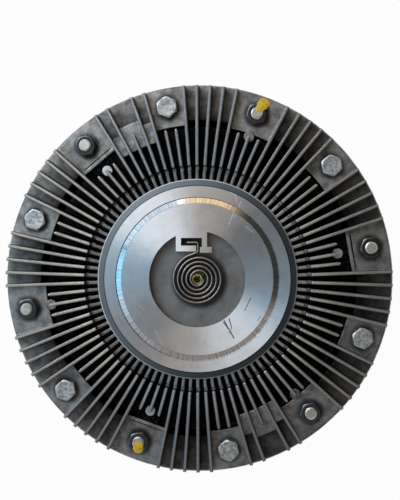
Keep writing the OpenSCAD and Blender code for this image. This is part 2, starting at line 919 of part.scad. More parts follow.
// Finned front cover, cast in one piece and machined at the boss.
module front_cover() {
    color("darkgray")
        difference() {
            union() {
                cover_body();
                cover_fins();
                for (i = [0 : sectors - 1]) {
                    pad(stud_deg + i * sector_deg, stud_pad_fins * fin_deg);
                    pad(bolt_deg + i * sector_deg, bolt_pad_fins * fin_deg);
                    if (is_ribbed(i * fins_per_sector))
                        rib_block(stud_deg + i * sector_deg);
                    else
                        ejector_boss(stud_deg + i * sector_deg);
                }
                for (i = balance_fins)
                    balance_blocks(i * fin_deg);
            }
            coil_recess();
            for (i = [0 : sectors - 1])
                if (is_ribbed(i * fins_per_sector))
                    rib_slot(stud_deg + i * sector_deg);
            translate([0, 0, valve_boss_z - eps])
                cylinder(r = valve_r + fit_gap, h = recess_depth + recess_floor_z - valve_boss_z);
            for (i = [0 : 2 * sectors - 1])
                at_clock(stud_deg + i * sector_deg / 2)
                    translate([0, bolt_r, joint_z - eps])
                        cylinder(r = thread_r + hole_gap, h = pad_z - joint_z + 2 * eps);
            for (i = [0 : sectors - 1])
                at_clock(i * sector_deg)
                    translate([0, screw_r, plate_top_z - eps])
                        cylinder(d = screw_d + 2 * fit_gap, h = screw_len + eps);
        }
}

// Steel plate between the reservoir and the working chamber, with its valve port.
module partition_plate() {
    color("lightsteelblue")
        translate([0, 0, plate_z])
            linear_extrude(plate_t)
                difference() {
                    circle(plate_r);
                    translate([0, port_r])
                        circle(d = port_d);
                    translate([0, -port_r])
                        circle(d = port_d);
                    for (i = [0 : sectors - 1])
                        at_clock(i * sector_deg)
                            translate([0, screw_r])
                                circle(d = screw_d + 2 * fit_gap);
                }
}

// Small screws that hold the partition plate to the cover.
module partition_screws() {
    color("goldenrod")
        for (i = [0 : sectors - 1])
            at_clock(i * sector_deg)
                translate([0, screw_r, 0]) {
                    translate([0, 0, plate_z - screw_head_h])
                        cylinder(d = screw_head_d, h = screw_head_h);
                    translate([0, 0, plate_z - eps])
                        cylinder(d = screw_d, h = plate_t + screw_len - eps);
                }
}

// Valve shaft with its collar, seal groove, clip groove and coil slot.
module valve_shaft() {
    color("goldenrod")
        difference() {
            rotate_extrude()
                polygon([
                    [0, arm_z], [spigot_r, arm_z], [spigot_r, arm_top_z], [collar_r, arm_top_z],
                    [collar_r, collar_top_z], [valve_r, collar_top_z],
                    [valve_r, valve_ring_z - valve_groove_w / 2],
                    [valve_r - valve_ring_d, valve_ring_z - valve_groove_w / 2],
                    [valve_r - valve_ring_d, valve_ring_z + valve_groove_w / 2],
                    [valve_r, valve_ring_z + valve_groove_w / 2],
                    [valve_r, clip_z], [valve_r - clip_depth, clip_z],
                    [valve_r - clip_depth, clip_z + clip_t + fit_gap], [valve_r, clip_z + clip_t + fit_gap],
                    [valve_r, valve_top_z - valve_chamfer],
                    [valve_r - valve_chamfer, valve_top_z], [0, valve_top_z]
                ]);
            translate([-slot_past, -slot_w / 2, coil_z - fit_gap])
                cube([valve_r + slot_past + eps, slot_w, valve_top_z]);
        }
}

// Sealing ring in the groove of the valve shaft.
module valve_seal() {
    color("black")
        rotate_extrude()
            translate([valve_r - valve_ring_d / 2, valve_ring_z])
                circle(d = valve_ring_d - fit_gap, $fn = 48);
}

// Open clip on the valve shaft, above the recess floor.
module valve_clip() {
    r0 = valve_r - clip_depth + fit_gap;
    color("darkslategray")
        translate([0, 0, clip_z])
            linear_extrude(clip_t)
                difference() {
                    circle(r0 + clip_w);
                    circle(r0);
                    translate([0, -clip_w])
                        square([2 * (r0 + clip_w), 2 * clip_w]);
                }
}

// Flat spring arm that covers the port in the cold position.
module valve_arm() {
    color("lightslategray")
        translate([0, 0, arm_z])
            linear_extrude(arm_t)
                difference() {
                    union() {
                        circle(arm_hub_r);
                        translate([-arm_w / 2, -port_r])
                            square([arm_w, 2 * port_r]);
                        for (side = [-1, 1])
                            translate([0, side * port_r])
                                circle(arm_pad_r);
                    }
                    circle(spigot_r + seat_gap);
                }
}

// One half turn of the coil strip. Even turns lie below the X axis and odd ones above it.
module half_turn(k) {
    r = coil_inner_r + k * coil_step;
    odd = k % 2;
    translate([odd * coil_step, 0, coil_z])
        rotate([0, 0, odd == 1 ? 0 : 180])
            rotate_extrude(angle = 180)
                translate([r - strip_t / 2, 0])
                    square([strip_t, strip_w]);
}

// Bimetal coil: a spiral strip, hooked in the shaft slot and held in the anchor.
module bimetal_coil() {
    half_t = strip_t / 2;
    color("rosybrown")
        union() {
            for (k = [0 : coil_halves - 1])
                half_turn(k);
            translate([valve_r - hook_len, -half_t, coil_z])
                cube([coil_inner_r - valve_r + hook_len + half_t - hook_inset, strip_t, strip_w]);
            translate([coil_step, 0, coil_z]) {
                mirror([1, 0, 0])
                    rotate_extrude(angle = 180 - tail_deg)
                        translate([tail_r - half_t, 0])
                            square([strip_t, strip_w]);
                rotate([0, 0, tail_deg])
                    translate([tail_r - half_t + seat_gap, -tail_len - half_t, 0])
                        cube([strip_t - 2 * seat_gap, tail_len + strip_t, strip_w]);
            }
            translate([tail_x - half_t, tail_y - half_t, coil_z])
                cube([strip_t, tail_end_y - tail_y + strip_t, strip_w]);
            translate([tail_x - tail_tab_len, tail_end_y - half_t, coil_z])
                cube([tail_tab_len, strip_t, strip_w]);
        }
}

// Hex bolts that clamp the cover to the housing.
module cover_bolts() {
    color("whitesmoke")
        for (i = [0 : sectors - 1])
            at_clock(bolt_deg + i * sector_deg)
                translate([0, bolt_r, 0]) {
                    translate([0, 0, pad_z])
                        hex_prism(head_h);
                    translate([0, 0, fan_seat_z + bolt_end])
                        cylinder(r = bolt_shank_r, h = pad_z - fan_seat_z - bolt_end + eps);
                }
}

// Studs through both castings that carry the fan behind the housing.
module fan_studs() {
    color("silver")
        for (i = [0 : sectors - 1])
            at_clock(stud_deg + i * sector_deg)
                translate([0, bolt_r, 0])
                    stud(stud_end_z, fan_seat_z, stud_top_z);
}

// Hex nuts on the front ends of the studs.
module stud_nuts() {
    color("darkslategray")
        for (i = [0 : sectors - 1])
            at_clock(stud_deg + i * sector_deg)
                translate([0, bolt_r, pad_z])
                    difference() {
                        hex_prism(nut_h);
                        translate([0, 0, -eps])
                            cylinder(r = bolt_shank_r + fit_gap, h = nut_h + 2 * eps);
                    }
}

input_shaft();
bearing_inner_ring();
bearing_balls();
bearing_cage_rear();
bearing_cage_front();
bearing_outer_ring();
bearing_seal_rear();
bearing_seal_front();
bearing_circlip();
rotor();
rotor_circlip();
rear_housing();
housing_seal();
front_cover();
partition_plate();
partition_screws();
valve_shaft();
valve_seal();
valve_clip();
valve_arm();
bimetal_coil();
cover_bolts();
fan_studs();
stud_nuts();
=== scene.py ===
"""Dresses the viscous fan clutch in cast and machined finishes and sets up its studio."""
import json
import logging
import math
from collections.abc import Callable, Iterable, Sequence
from dataclasses import dataclass, field
from enum import Enum
from functools import reduce
from typing import Any, ClassVar

import bpy
from mathutils import Matrix, Vector


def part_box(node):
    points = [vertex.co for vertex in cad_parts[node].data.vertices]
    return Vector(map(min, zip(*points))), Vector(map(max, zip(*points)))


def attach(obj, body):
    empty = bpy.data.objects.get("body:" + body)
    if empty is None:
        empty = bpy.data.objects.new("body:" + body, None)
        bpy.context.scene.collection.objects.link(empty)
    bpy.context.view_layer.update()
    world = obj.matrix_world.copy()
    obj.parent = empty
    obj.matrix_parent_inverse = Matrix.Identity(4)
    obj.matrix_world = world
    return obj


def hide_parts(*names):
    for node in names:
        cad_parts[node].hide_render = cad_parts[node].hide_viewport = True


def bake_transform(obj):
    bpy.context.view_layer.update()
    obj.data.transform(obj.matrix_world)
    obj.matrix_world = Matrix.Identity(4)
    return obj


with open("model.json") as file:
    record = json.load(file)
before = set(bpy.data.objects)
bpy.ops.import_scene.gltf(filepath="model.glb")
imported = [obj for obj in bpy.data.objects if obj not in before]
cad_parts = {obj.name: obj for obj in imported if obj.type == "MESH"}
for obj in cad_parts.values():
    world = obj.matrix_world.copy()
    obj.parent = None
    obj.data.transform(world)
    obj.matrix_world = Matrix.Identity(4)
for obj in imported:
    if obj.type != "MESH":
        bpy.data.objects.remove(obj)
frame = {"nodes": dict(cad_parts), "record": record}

LOG = logging.getLogger("fan_clutch")
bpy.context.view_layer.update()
MM = 0.001
FULL_TURN = 2 * math.pi

Colour = tuple[float, float, float]
Point = tuple[float, float]
Row = list[Vector]


class Body(Enum):
    """The bodies that a piece can ride on."""

    HOUSING = "housing"
    VALVE = "valve"


class Operation(Enum):
    """The Math node operations that the shader expressions use."""

    ADD = "ADD"
    SUBTRACT = "SUBTRACT"
    MULTIPLY = "MULTIPLY"
    DIVIDE = "DIVIDE"
    POWER = "POWER"
    MAXIMUM = "MAXIMUM"
    ABSOLUTE = "ABSOLUTE"
    FRACTION = "FRACT"
    ANGLE = "ARCTAN2"


def clock(deg: float, radius: float = 1.0) -> Point:
    """Gives the point at a clock angle, clockwise from +Y as seen from the front.

    Args:
        deg: Clock angle in degrees.
        radius: Distance from the axis.

    Returns:
        The x and y of the point.
    """
    return radius * math.sin(math.radians(deg)), radius * math.cos(math.radians(deg))


def rgba(colour: Colour) -> tuple[float, float, float, float]:
    """Adds a full alpha to a colour."""
    return (*colour, 1.0)


class Wire:
    """One output of a node, with operators that add Math nodes."""

    def __init__(self, bench: "Bench", socket: bpy.types.NodeSocket) -> None:
        """Keeps the socket and the bench that it belongs to."""
        self.bench = bench
        self.socket = socket

    def _math(self, operation: Operation, first: Any, second: Any = 0.0) -> "Wire":
        """Adds one Math node."""
        return self.bench.node("ShaderNodeMath", {"operation": operation.value}, {0: first, 1: second})

    def __add__(self, other: Any) -> "Wire":
        """Adds a value."""
        return self._math(Operation.ADD, self, other)

    def __radd__(self, other: float) -> "Wire":
        """Adds to a number."""
        return self._math(Operation.ADD, other, self)

    def __sub__(self, other: Any) -> "Wire":
        """Takes a value away."""
        return self._math(Operation.SUBTRACT, self, other)

    def __rsub__(self, other: float) -> "Wire":
        """Takes this away from a number."""
        return self._math(Operation.SUBTRACT, other, self)

    def __mul__(self, other: Any) -> "Wire":
        """Multiplies by a value."""
        return self._math(Operation.MULTIPLY, self, other)

    def __rmul__(self, other: float) -> "Wire":
        """Multiplies a number."""
        return self._math(Operation.MULTIPLY, other, self)

    def __truediv__(self, other: Any) -> "Wire":
        """Divides by a value."""
        return self._math(Operation.DIVIDE, self, other)

    def __rtruediv__(self, other: float) -> "Wire":
        """Divides a number."""
        return self._math(Operation.DIVIDE, other, self)

    def __pow__(self, other: Any) -> "Wire":
        """Raises to a power."""
        return self._math(Operation.POWER, self, other)

    def __abs__(self) -> "Wire":
        """Gives the absolute value."""
        return self._math(Operation.ABSOLUTE, self)

    def fraction(self) -> "Wire":
        """Gives what is left above the whole number."""
        return self._math(Operation.FRACTION, self)

    def angle(self, other: "Wire") -> "Wire":
        """Gives the angle whose tangent is this divided by another value, all the way around."""
        return self._math(Operation.ANGLE, self, other)

    def either(self, other: Any) -> "Wire":
        """Gives the larger of two values."""
        return self._math(Operation.MAXIMUM, self, other)

    def rise(self, low: float, high: float) -> "Wire":
        """Goes smoothly from 0 at low to 1 at high.

        Args:
            low: Value that gives 0.
            high: Value that gives 1; below low, the step falls.

        Returns:
            The step.
        """
        settings = {"interpolation_type": "SMOOTHSTEP"}
        if low < high:
            return self.bench.node("ShaderNodeMapRange", settings, {0: self, 1: low, 2: high})
        return 1 - self.bench.node("ShaderNodeMapRange", settings, {0: self, 1: high, 2: low})

    def band(self, low: float, high: float, soft: float) -> "Wire":
        """Is 1 between two values and 0 outside, with soft ends.

        Args:
            low: Start of the band.
            high: End of the band.
            soft: Width of each end.

        Returns:
            The band.
        """
        return self.rise(low - soft, low + soft) * self.rise(high + soft, high - soft)


@dataclass(frozen=True)
class Spot:
    """Where a shaded point lies on the part, in millimetres."""

    vector: Wire
    flat: Wire
    x: Wire
    y: Wire
    z: Wire
    radius: Wire
    up: Wire

    def toward(self, deg: float) -> Wire:
        """Goes from 1 at a clock angle to -1 on the other side of the axis.

        Args:
            deg: The clock angle.

        Returns:
            The share.
        """
        x, y = clock(deg)
        return (self.x * x + self.y * y) / self.radius

    def beside(self, first_deg: float, step_deg: float) -> Wire:
        """Gives the angle from the nearest of evenly spaced spokes.

        Args:
            first_deg: Clock angle of one spoke.
            step_deg: Angle between spokes.

        Returns:
            The angle in radians, with its sign.
        """
        step = math.radians(step_deg)
        turns = (self.x.angle(self.y) - math.radians(first_deg)) / step
        return ((turns + 0.5).fraction() - 0.5) * step


class Bench:
    """A node tree at work, with one method for any node and short ones for the usual groups."""

    def __init__(self, tree: bpy.types.NodeTree) -> None:
        """Empties the tree and keeps it."""
        self.tree = tree
        self.tree.nodes.clear()

    def add(
        self,
        kind: str,
        settings: dict[str, Any] | None = None,
        sockets: dict[int | str, Any] | None = None,
    ) -> bpy.types.Node:
        """Adds any node.

        Args:
            kind: Type of the node.
            settings: Its settings, set first.
            sockets: Values or wires of its inputs, by name or number.

        Returns:
            The node.
        """
        made = self.tree.nodes.new(kind)
        for name, value in (settings or {}).items():
            setattr(made, name, value)
        for key, value in (sockets or {}).items():
            if isinstance(value, Wire):
                self.tree.links.new(value.socket, made.inputs[key])
            else:
                made.inputs[key].default_value = value
        return made

    def node(
        self,
        kind: str,
        settings: dict[str, Any] | None = None,
        sockets: dict[int | str, Any] | None = None,
        output: int | str = 0,
    ) -> Wire:
        """Adds a node and gives one of its outputs.

        Args:
            kind: Type of the node.
            settings: Its settings.
            sockets: Values or wires of its inputs.
            output: The output that is wanted.

        Returns:
            That output.
        """
        return Wire(self, self.add(kind, settings, sockets).outputs[output])

    def tint(self, share: Any, first: Any, second: Any) -> Wire:
        """Mixes two colours.

        Args:
            share: Share of the second colour.
            first: Colour at 0.
            second: Colour at 1.

        Returns:
            The mixed colour.
        """
        first, second = (value if isinstance(value, Wire) else rgba(value) for value in (first, second))
        return self.node("ShaderNodeMix", {"data_type": "RGBA"}, {0: share, 6: first, 7: second}, 2)

    def shade(self, colour: Any, factor: Wire) -> Wire:
        """Multiplies a colour by a value.

        Args:
            colour: The colour.
            factor: The value.

        Returns:
            The shaded colour.
        """
        colour = colour if isinstance(colour, Wire) else rgba(colour)
        settings = {"data_type": "RGBA", "blend_type": "MULTIPLY"}
        return self.node("ShaderNodeMix", settings, {0: 1.0, 6: colour, 7: factor}, 2)

    def blend_vectors(self, share: Any, first: Wire, second: Wire) -> Wire:
        """Mixes two vectors."""
        return self.node("ShaderNodeMix", {"data_type": "VECTOR"}, {0: share, 4: first, 5: second}, 1)

    def arrow(self, operation: str, *values: Any, scale: Any = None, output: int | str = 0) -> Wire:
        """Adds a Vector Math node.

        Args:
            operation: The operation.
            *values: Its vectors.
            scale: Its scale, where it has one.
            output: The output that is wanted.

        Returns:
            That output.
        """
        sockets: dict[int | str, Any] = dict(enumerate(values))
        if scale is not None:
            sockets["Scale"] = scale
        return self.node("ShaderNodeVectorMath", {"operation": operation}, sockets, output)

    def spot(self) -> Spot:
        """Gives the place of the shaded point on the part."""
        metres = self.node("ShaderNodeTexCoord", output="Object")
        vector = self.arrow("SCALE", metres, scale=1 / MM)
        parts = self.add("ShaderNodeSeparateXYZ", {}, {0: vector}).outputs
        x, y, z = (Wire(self, part) for part in parts)
        flat = self.node("ShaderNodeCombineXYZ", {}, {0: x, 1: y})
        radius = self.arrow("LENGTH", flat, output="Value")
        normal = self.node("ShaderNodeTexCoord", output="Normal")
        up = self.node("ShaderNodeSeparateXYZ", {}, {0: normal}, 2)
        return Spot(vector, flat, x, y, z, radius, up)

    def distance(self, spot: Spot, centre: tuple[float, float, float]) -> Wire:
        """Gives the distance of a spot from a centre, seen along the axis.

        Args:
            spot: Place on the part.
            centre: The centre, at height 0.

        Returns:
            The distance in millimetres.
        """
        return self.arrow("DISTANCE", spot.flat, centre, output="Value")

    def noise(self, where: Wire, size: float, detail: float = 3.0, rough: float = 0.55) -> Wire:
        """Adds noise from 0 to 1.

        Args:
            where: Place in millimetres.
            size: Size of its grains in millimetres.
            detail: Octaves.
            rough: Strength of the finer octaves.

        Returns:
            The noise.
        """
        sockets = {"Vector": where, "Scale": 1 / size, "Detail": detail, "Roughness": rough}
        return self.node("ShaderNodeTexNoise", {}, sockets)

    def ripple(self, value: Wire, size: float, detail: float = 1.0) -> Wire:
        """Adds noise along one value, from 0 to 1.

        Args:
            value: The value in millimetres.
            size: Size of its waves in millimetres.
            detail: Octaves.

        Returns:
            The noise.
        """
        settings = {"noise_dimensions": "1D"}
        return self.node("ShaderNodeTexNoise", settings, {"W": value, "Scale": 1 / size, "Detail": detail})

    def surface_normal(self) -> Wire:
        """Gives the normal of the surface."""
        return self.node("ShaderNodeNewGeometry", output="Normal")

    def turned_normal(self, spot: Spot, slope: Wire, normal: Wire) -> Wire:
        """Tilts a normal to and from the axis, as the grooves of a turned face do.

        Args:
            spot: Place on the part.
            slope: Tilt, as a slope.
            normal: Normal to tilt.

        Returns:
            The tilted normal.
        """
        outward = self.arrow("NORMALIZE", spot.flat)
        tilt = self.arrow("SCALE", outward, scale=slope)
        settings = {"vector_type": "VECTOR", "convert_from": "OBJECT", "convert_to": "WORLD"}
        world_tilt = self.node("ShaderNodeVectorTransform", settings, {0: tilt})
        return self.arrow("NORMALIZE", self.arrow("ADD", normal, world_tilt))

    def bump(self, height: Wire, depth: float, normal: Wire | None = None) -> Wire:
        """Adds a Bump node.

        Args:
            height: Height from 0 to 1.
            depth: Real height of 1, in millimetres.
            normal: Normal to start from.

        Returns:
            The bumped normal.
        """
        sockets = {"Strength": 1.0, "Distance": depth * MM, "Height": height}
        if normal is not None:
            sockets["Normal"] = normal
        return self.node("ShaderNodeBump", {}, sockets)

    def metal(self, **sockets: Any) -> Wire:
        """Adds a Principled shader.

        Args:
            **sockets: Its inputs, with underscores for spaces.

        Returns:
            The shader.
        """
        named = {name.replace("_", " "): value for name, value in sockets.items()}
        return self.node("ShaderNodeBsdfPrincipled", {}, named)


@dataclass(frozen=True)
class Finish:
    """A finish that makes its material once."""

    name: str
    made: ClassVar[dict[str, bpy.types.Material]] = {}

    def coat(self, bench: Bench) -> Wire:
        """Builds the shader; each finish has its own.

        Args:
            bench: The material's node tree.

        Returns:
            The shader.
        """
        raise NotImplementedError

    def material(self) -> bpy.types.Material:
        """Gives the material, made on first use."""
        if self.name not in self.made:
            material = bpy.data.materials.new(self.name)
            material.use_nodes = True
            bench = Bench(material.node_tree)
            bench.add("ShaderNodeOutputMaterial", {}, {"Surface": self.coat(bench)})
            self.made[self.name] = material
        return self.made[self.name]

    def dress(self, *objects: bpy.types.Object) -> None:
        """Gives objects this finish as their only material.

        Args:
            *objects: The objects.
        """
        for thing in objects:
            thing.data.materials.clear()
            thing.data.materials.append(self.material())


@dataclass(frozen=True)
class WorkedMetal(Finish):
    """Plain metal with a mottled tone, a fine grain and, where it was turned, rings around the axis."""

    colour: Colour
    roughness: float
    metallic: float = 1.0
    mottle: float = 0.2
    mottle_size: float = 4.0
    grain_size: float = 0.5
    grain_depth: float = 0.02
    turned_slope: float = 0.0
    turned_size: float = 0.3
    rough_swing: float = 0.4

    def coat(self, bench: Bench) -> Wire:
        """Builds the shader.

        Args:
            bench: The material's node tree.

        Returns:
            The shader.
        """
        spot = bench.spot()
        patches = bench.noise(spot.vector, self.mottle_size)
        grain = bench.noise(spot.vector, self.grain_size, 2.0)
        normal = bench.surface_normal()
        if self.turned_slope > 0:
            along = spot.radius + spot.z
            wave = (bench.ripple(along, self.turned_size) - 0.5) * (2 * self.turned_slope)
            normal = bench.turned_normal(spot, wave, normal)
        return bench.metal(
            Base_Color=bench.shade(self.colour, 1 - self.mottle * patches.rise(0.35, 0.7)),
            Metallic=self.metallic,
            Roughness=self.roughness + (patches - 0.5) * (self.rough_swing * self.roughness),
            Normal=bench.bump(grain, self.grain_depth, normal),
        )


@dataclass(frozen=True)
class ShaftEnd(WorkedMetal):
    """Zinc-plated shaft whose end face is painted dark, a painted dark reflection, inside a painted
    highlight along its edge, with bright patches at random.
    """

    # Painted dark reflection on the end face.
    painted_dark: Colour = (0.05, 0.055, 0.03)
    patch_rough: float = 0.1
    edge_r: float = 2.75
    edge_width: float = 0.35

    def coat(self, bench: Bench) -> Wire:
        """Builds the shader.

        Args:
            bench: The material's node tree.

        Returns:
            The shader.
        """
        spot = bench.spot()
        patches = bench.noise(spot.vector, self.mottle_size)
        # Painted highlight along the edge of the end face, and bright patches at random, over its painted
        # dark.
        edge = spot.radius.rise(self.edge_r - self.edge_width, self.edge_r)
        edge_highlight_and_patches = edge.either(patches.rise(0.6, 0.7))
        grain = bench.noise(spot.vector, self.grain_size, 2.0)
        return bench.metal(
            Base_Color=bench.tint(edge_highlight_and_patches, self.painted_dark, self.colour),
            Metallic=self.metallic,
            Roughness=self.roughness + self.patch_rough * patches,
            Normal=bench.bump(grain, self.grain_depth),
        )


@dataclass(frozen=True)
class Moulding(Finish):
    """Rubber or plastic with a fine moulded grain and a little dust."""

    colour: Colour
    roughness: float
    dust: float = 0.06
    dust_size: float = 3.0
    dust_rough: float = 0.12
    grain_size: float = 0.25
    grain_depth: float = 0.015

    def coat(self, bench: Bench) -> Wire:
        """Builds the shader.

        Args:
            bench: The material's node tree.

        Returns:
            The shader.
        """
        spot = bench.spot()
        patches = bench.noise(spot.vector, self.dust_size).rise(0.4, 0.75)
        dusty = tuple(value + self.dust for value in self.colour)
        grain = bench.noise(spot.vector, self.grain_size, 2.0)
        return bench.metal(
            Base_Color=bench.tint(patches, self.colour, dusty),
            Roughness=self.roughness + self.dust_rough * patches,
            Normal=bench.bump(grain, self.grain_depth),
        )


@dataclass(frozen=True)
class CastingSkin(Finish):
    """Grey cast aluminium, mottled by blasting."""

    pale: Colour = (0.47, 0.465, 0.46)
    dark: Colour = (0.14, 0.14, 0.145)
    cloud_size: float = 7.0
    cloud_share: float = 0.75
    speck_size: float = 0.9
    fine_grain: float = 0.35
    coarse_grain: float = 1.6
    dark_rough: float = 0.5
    pale_gloss: float = 0.14

    def skin(self, bench: Bench, spot: Spot) -> tuple[Wire, Wire, Wire]:
        """Builds the tone, roughness and grain of the cast skin.

        Args:
            bench: The material's node tree.
            spot: Place on the part.

        Returns:
            The colour, the roughness and the height of the grain.
        """
        clouds = bench.noise(spot.vector, self.cloud_size, 4.0, 0.6).rise(0.3, 0.72)
        specks = bench.noise(spot.vector, self.speck_size, 2.0).rise(0.35, 0.7)
        tone = clouds * self.cloud_share + specks * (1 - self.cloud_share)
        fine = bench.noise(spot.vector, self.fine_grain, 2.0)
        coarse = bench.noise(spot.vector, self.coarse_grain, 2.0)
        colour = bench.tint(tone, self.dark, self.pale)
        return colour, self.dark_rough - self.pale_gloss * tone, fine * 0.5 + coarse * 0.5


@dataclass(frozen=True)
class HousingFinish(CastingSkin):
    """The rear housing: cast, with a turned hub, joint, side and fan seat."""

    machined_tone: Colour = (0.43, 0.435, 0.445)
    machined_gloss: float = 0.16
    seat_r: float = 105.0
    seat_z: Point = (57.0, 58.3)
    tool_size: float = 0.8
    tool_slope: float = 0.06
    grain_depth: float = 0.12

    def coat(self, bench: Bench) -> Wire:
        """Builds the shader.

        Args:
            bench: The material's node tree.

        Returns:
            The shader.
        """
        spot = bench.spot()
        colour, roughness, grain = self.skin(bench, spot)
        low, high = (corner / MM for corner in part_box("rear_housing"))
        hub = spot.z.rise(low.z + 0.4, low.z + 0.2)
        joint = spot.z.rise(high.z - 0.3, high.z - 0.1)
        side = spot.radius.rise(high.x - 0.3, high.x - 0.1)
        seat = spot.radius.rise(self.seat_r - 0.5, self.seat_r) * spot.z.band(*self.seat_z, 0.1)
        machined = hub.either(joint).either(side).either(seat * spot.up.rise(-0.8, -0.9))
        wave = (bench.ripple(spot.radius + spot.z, self.tool_size) - 0.5) * machined * self.tool_slope
        normal = bench.turned_normal(spot, wave, bench.surface_normal())
        return bench.metal(
            Base_Color=bench.tint(machined, colour, self.machined_tone),
            Metallic=1.0,
            Roughness=roughness - machined * self.machined_gloss,
            Normal=bench.bump(grain * (1 - machined), self.grain_depth, normal),
        )


@dataclass(frozen=True)
class Scratch:
    """A scratch on the turned face, from one point to another, in millimetres."""

    start: Point
    end: Point
    width: float
    depth: float
    core_share: float = 0.3
    soft_end: float = 0.5
    gap_size: float = 1.3

    def mask(self, bench: Bench, spot: Spot) -> Wire:
        """Is near 1 on the scratch and 0 away from it.

        Args:
            bench: The material's node tree.
            spot: Place on the part.

        Returns:
            The mask.
        """
        run = Vector(self.end) - Vector(self.start)
        length = run.length
        along_x, along_y = run / length
        dx, dy = spot.x - self.start[0], spot.y - self.start[1]
        along = dx * along_x + dy * along_y
        across = abs(dx * along_y - dy * along_x)
        ragged = bench.ripple(along, self.gap_size).rise(0.25, 0.45)
        line = across.rise(self.width, self.width * self.core_share) * along.band(0, length, self.soft_end)
        return line * ragged * self.depth

    @staticmethod
    def join(scratches: Iterable["Scratch"], bench: Bench, spot: Spot) -> Wire:
        """Joins the masks of several scratches.

        Args:
            scratches: The scratches.
            bench: The material's node tree.
            spot: Place on the part.

        Returns:
            The mask of all of them.
        """
        return reduce(Wire.either, [scratch.mask(bench, spot) for scratch in scratches])


@dataclass(frozen=True)
class CoverZones:
    """The zones of the front cover at a shaded point, each from 0 to 1."""

    boss: Wire
    floor: Wire
    ring: Wire
    ring_edge: Wire
    rim: Wire
    face: Wire
    crest: Wire
    stub: Wire
    outside: Wire
    # Side that the key light falls on, by which light and shade are painted.
    lit: Wire


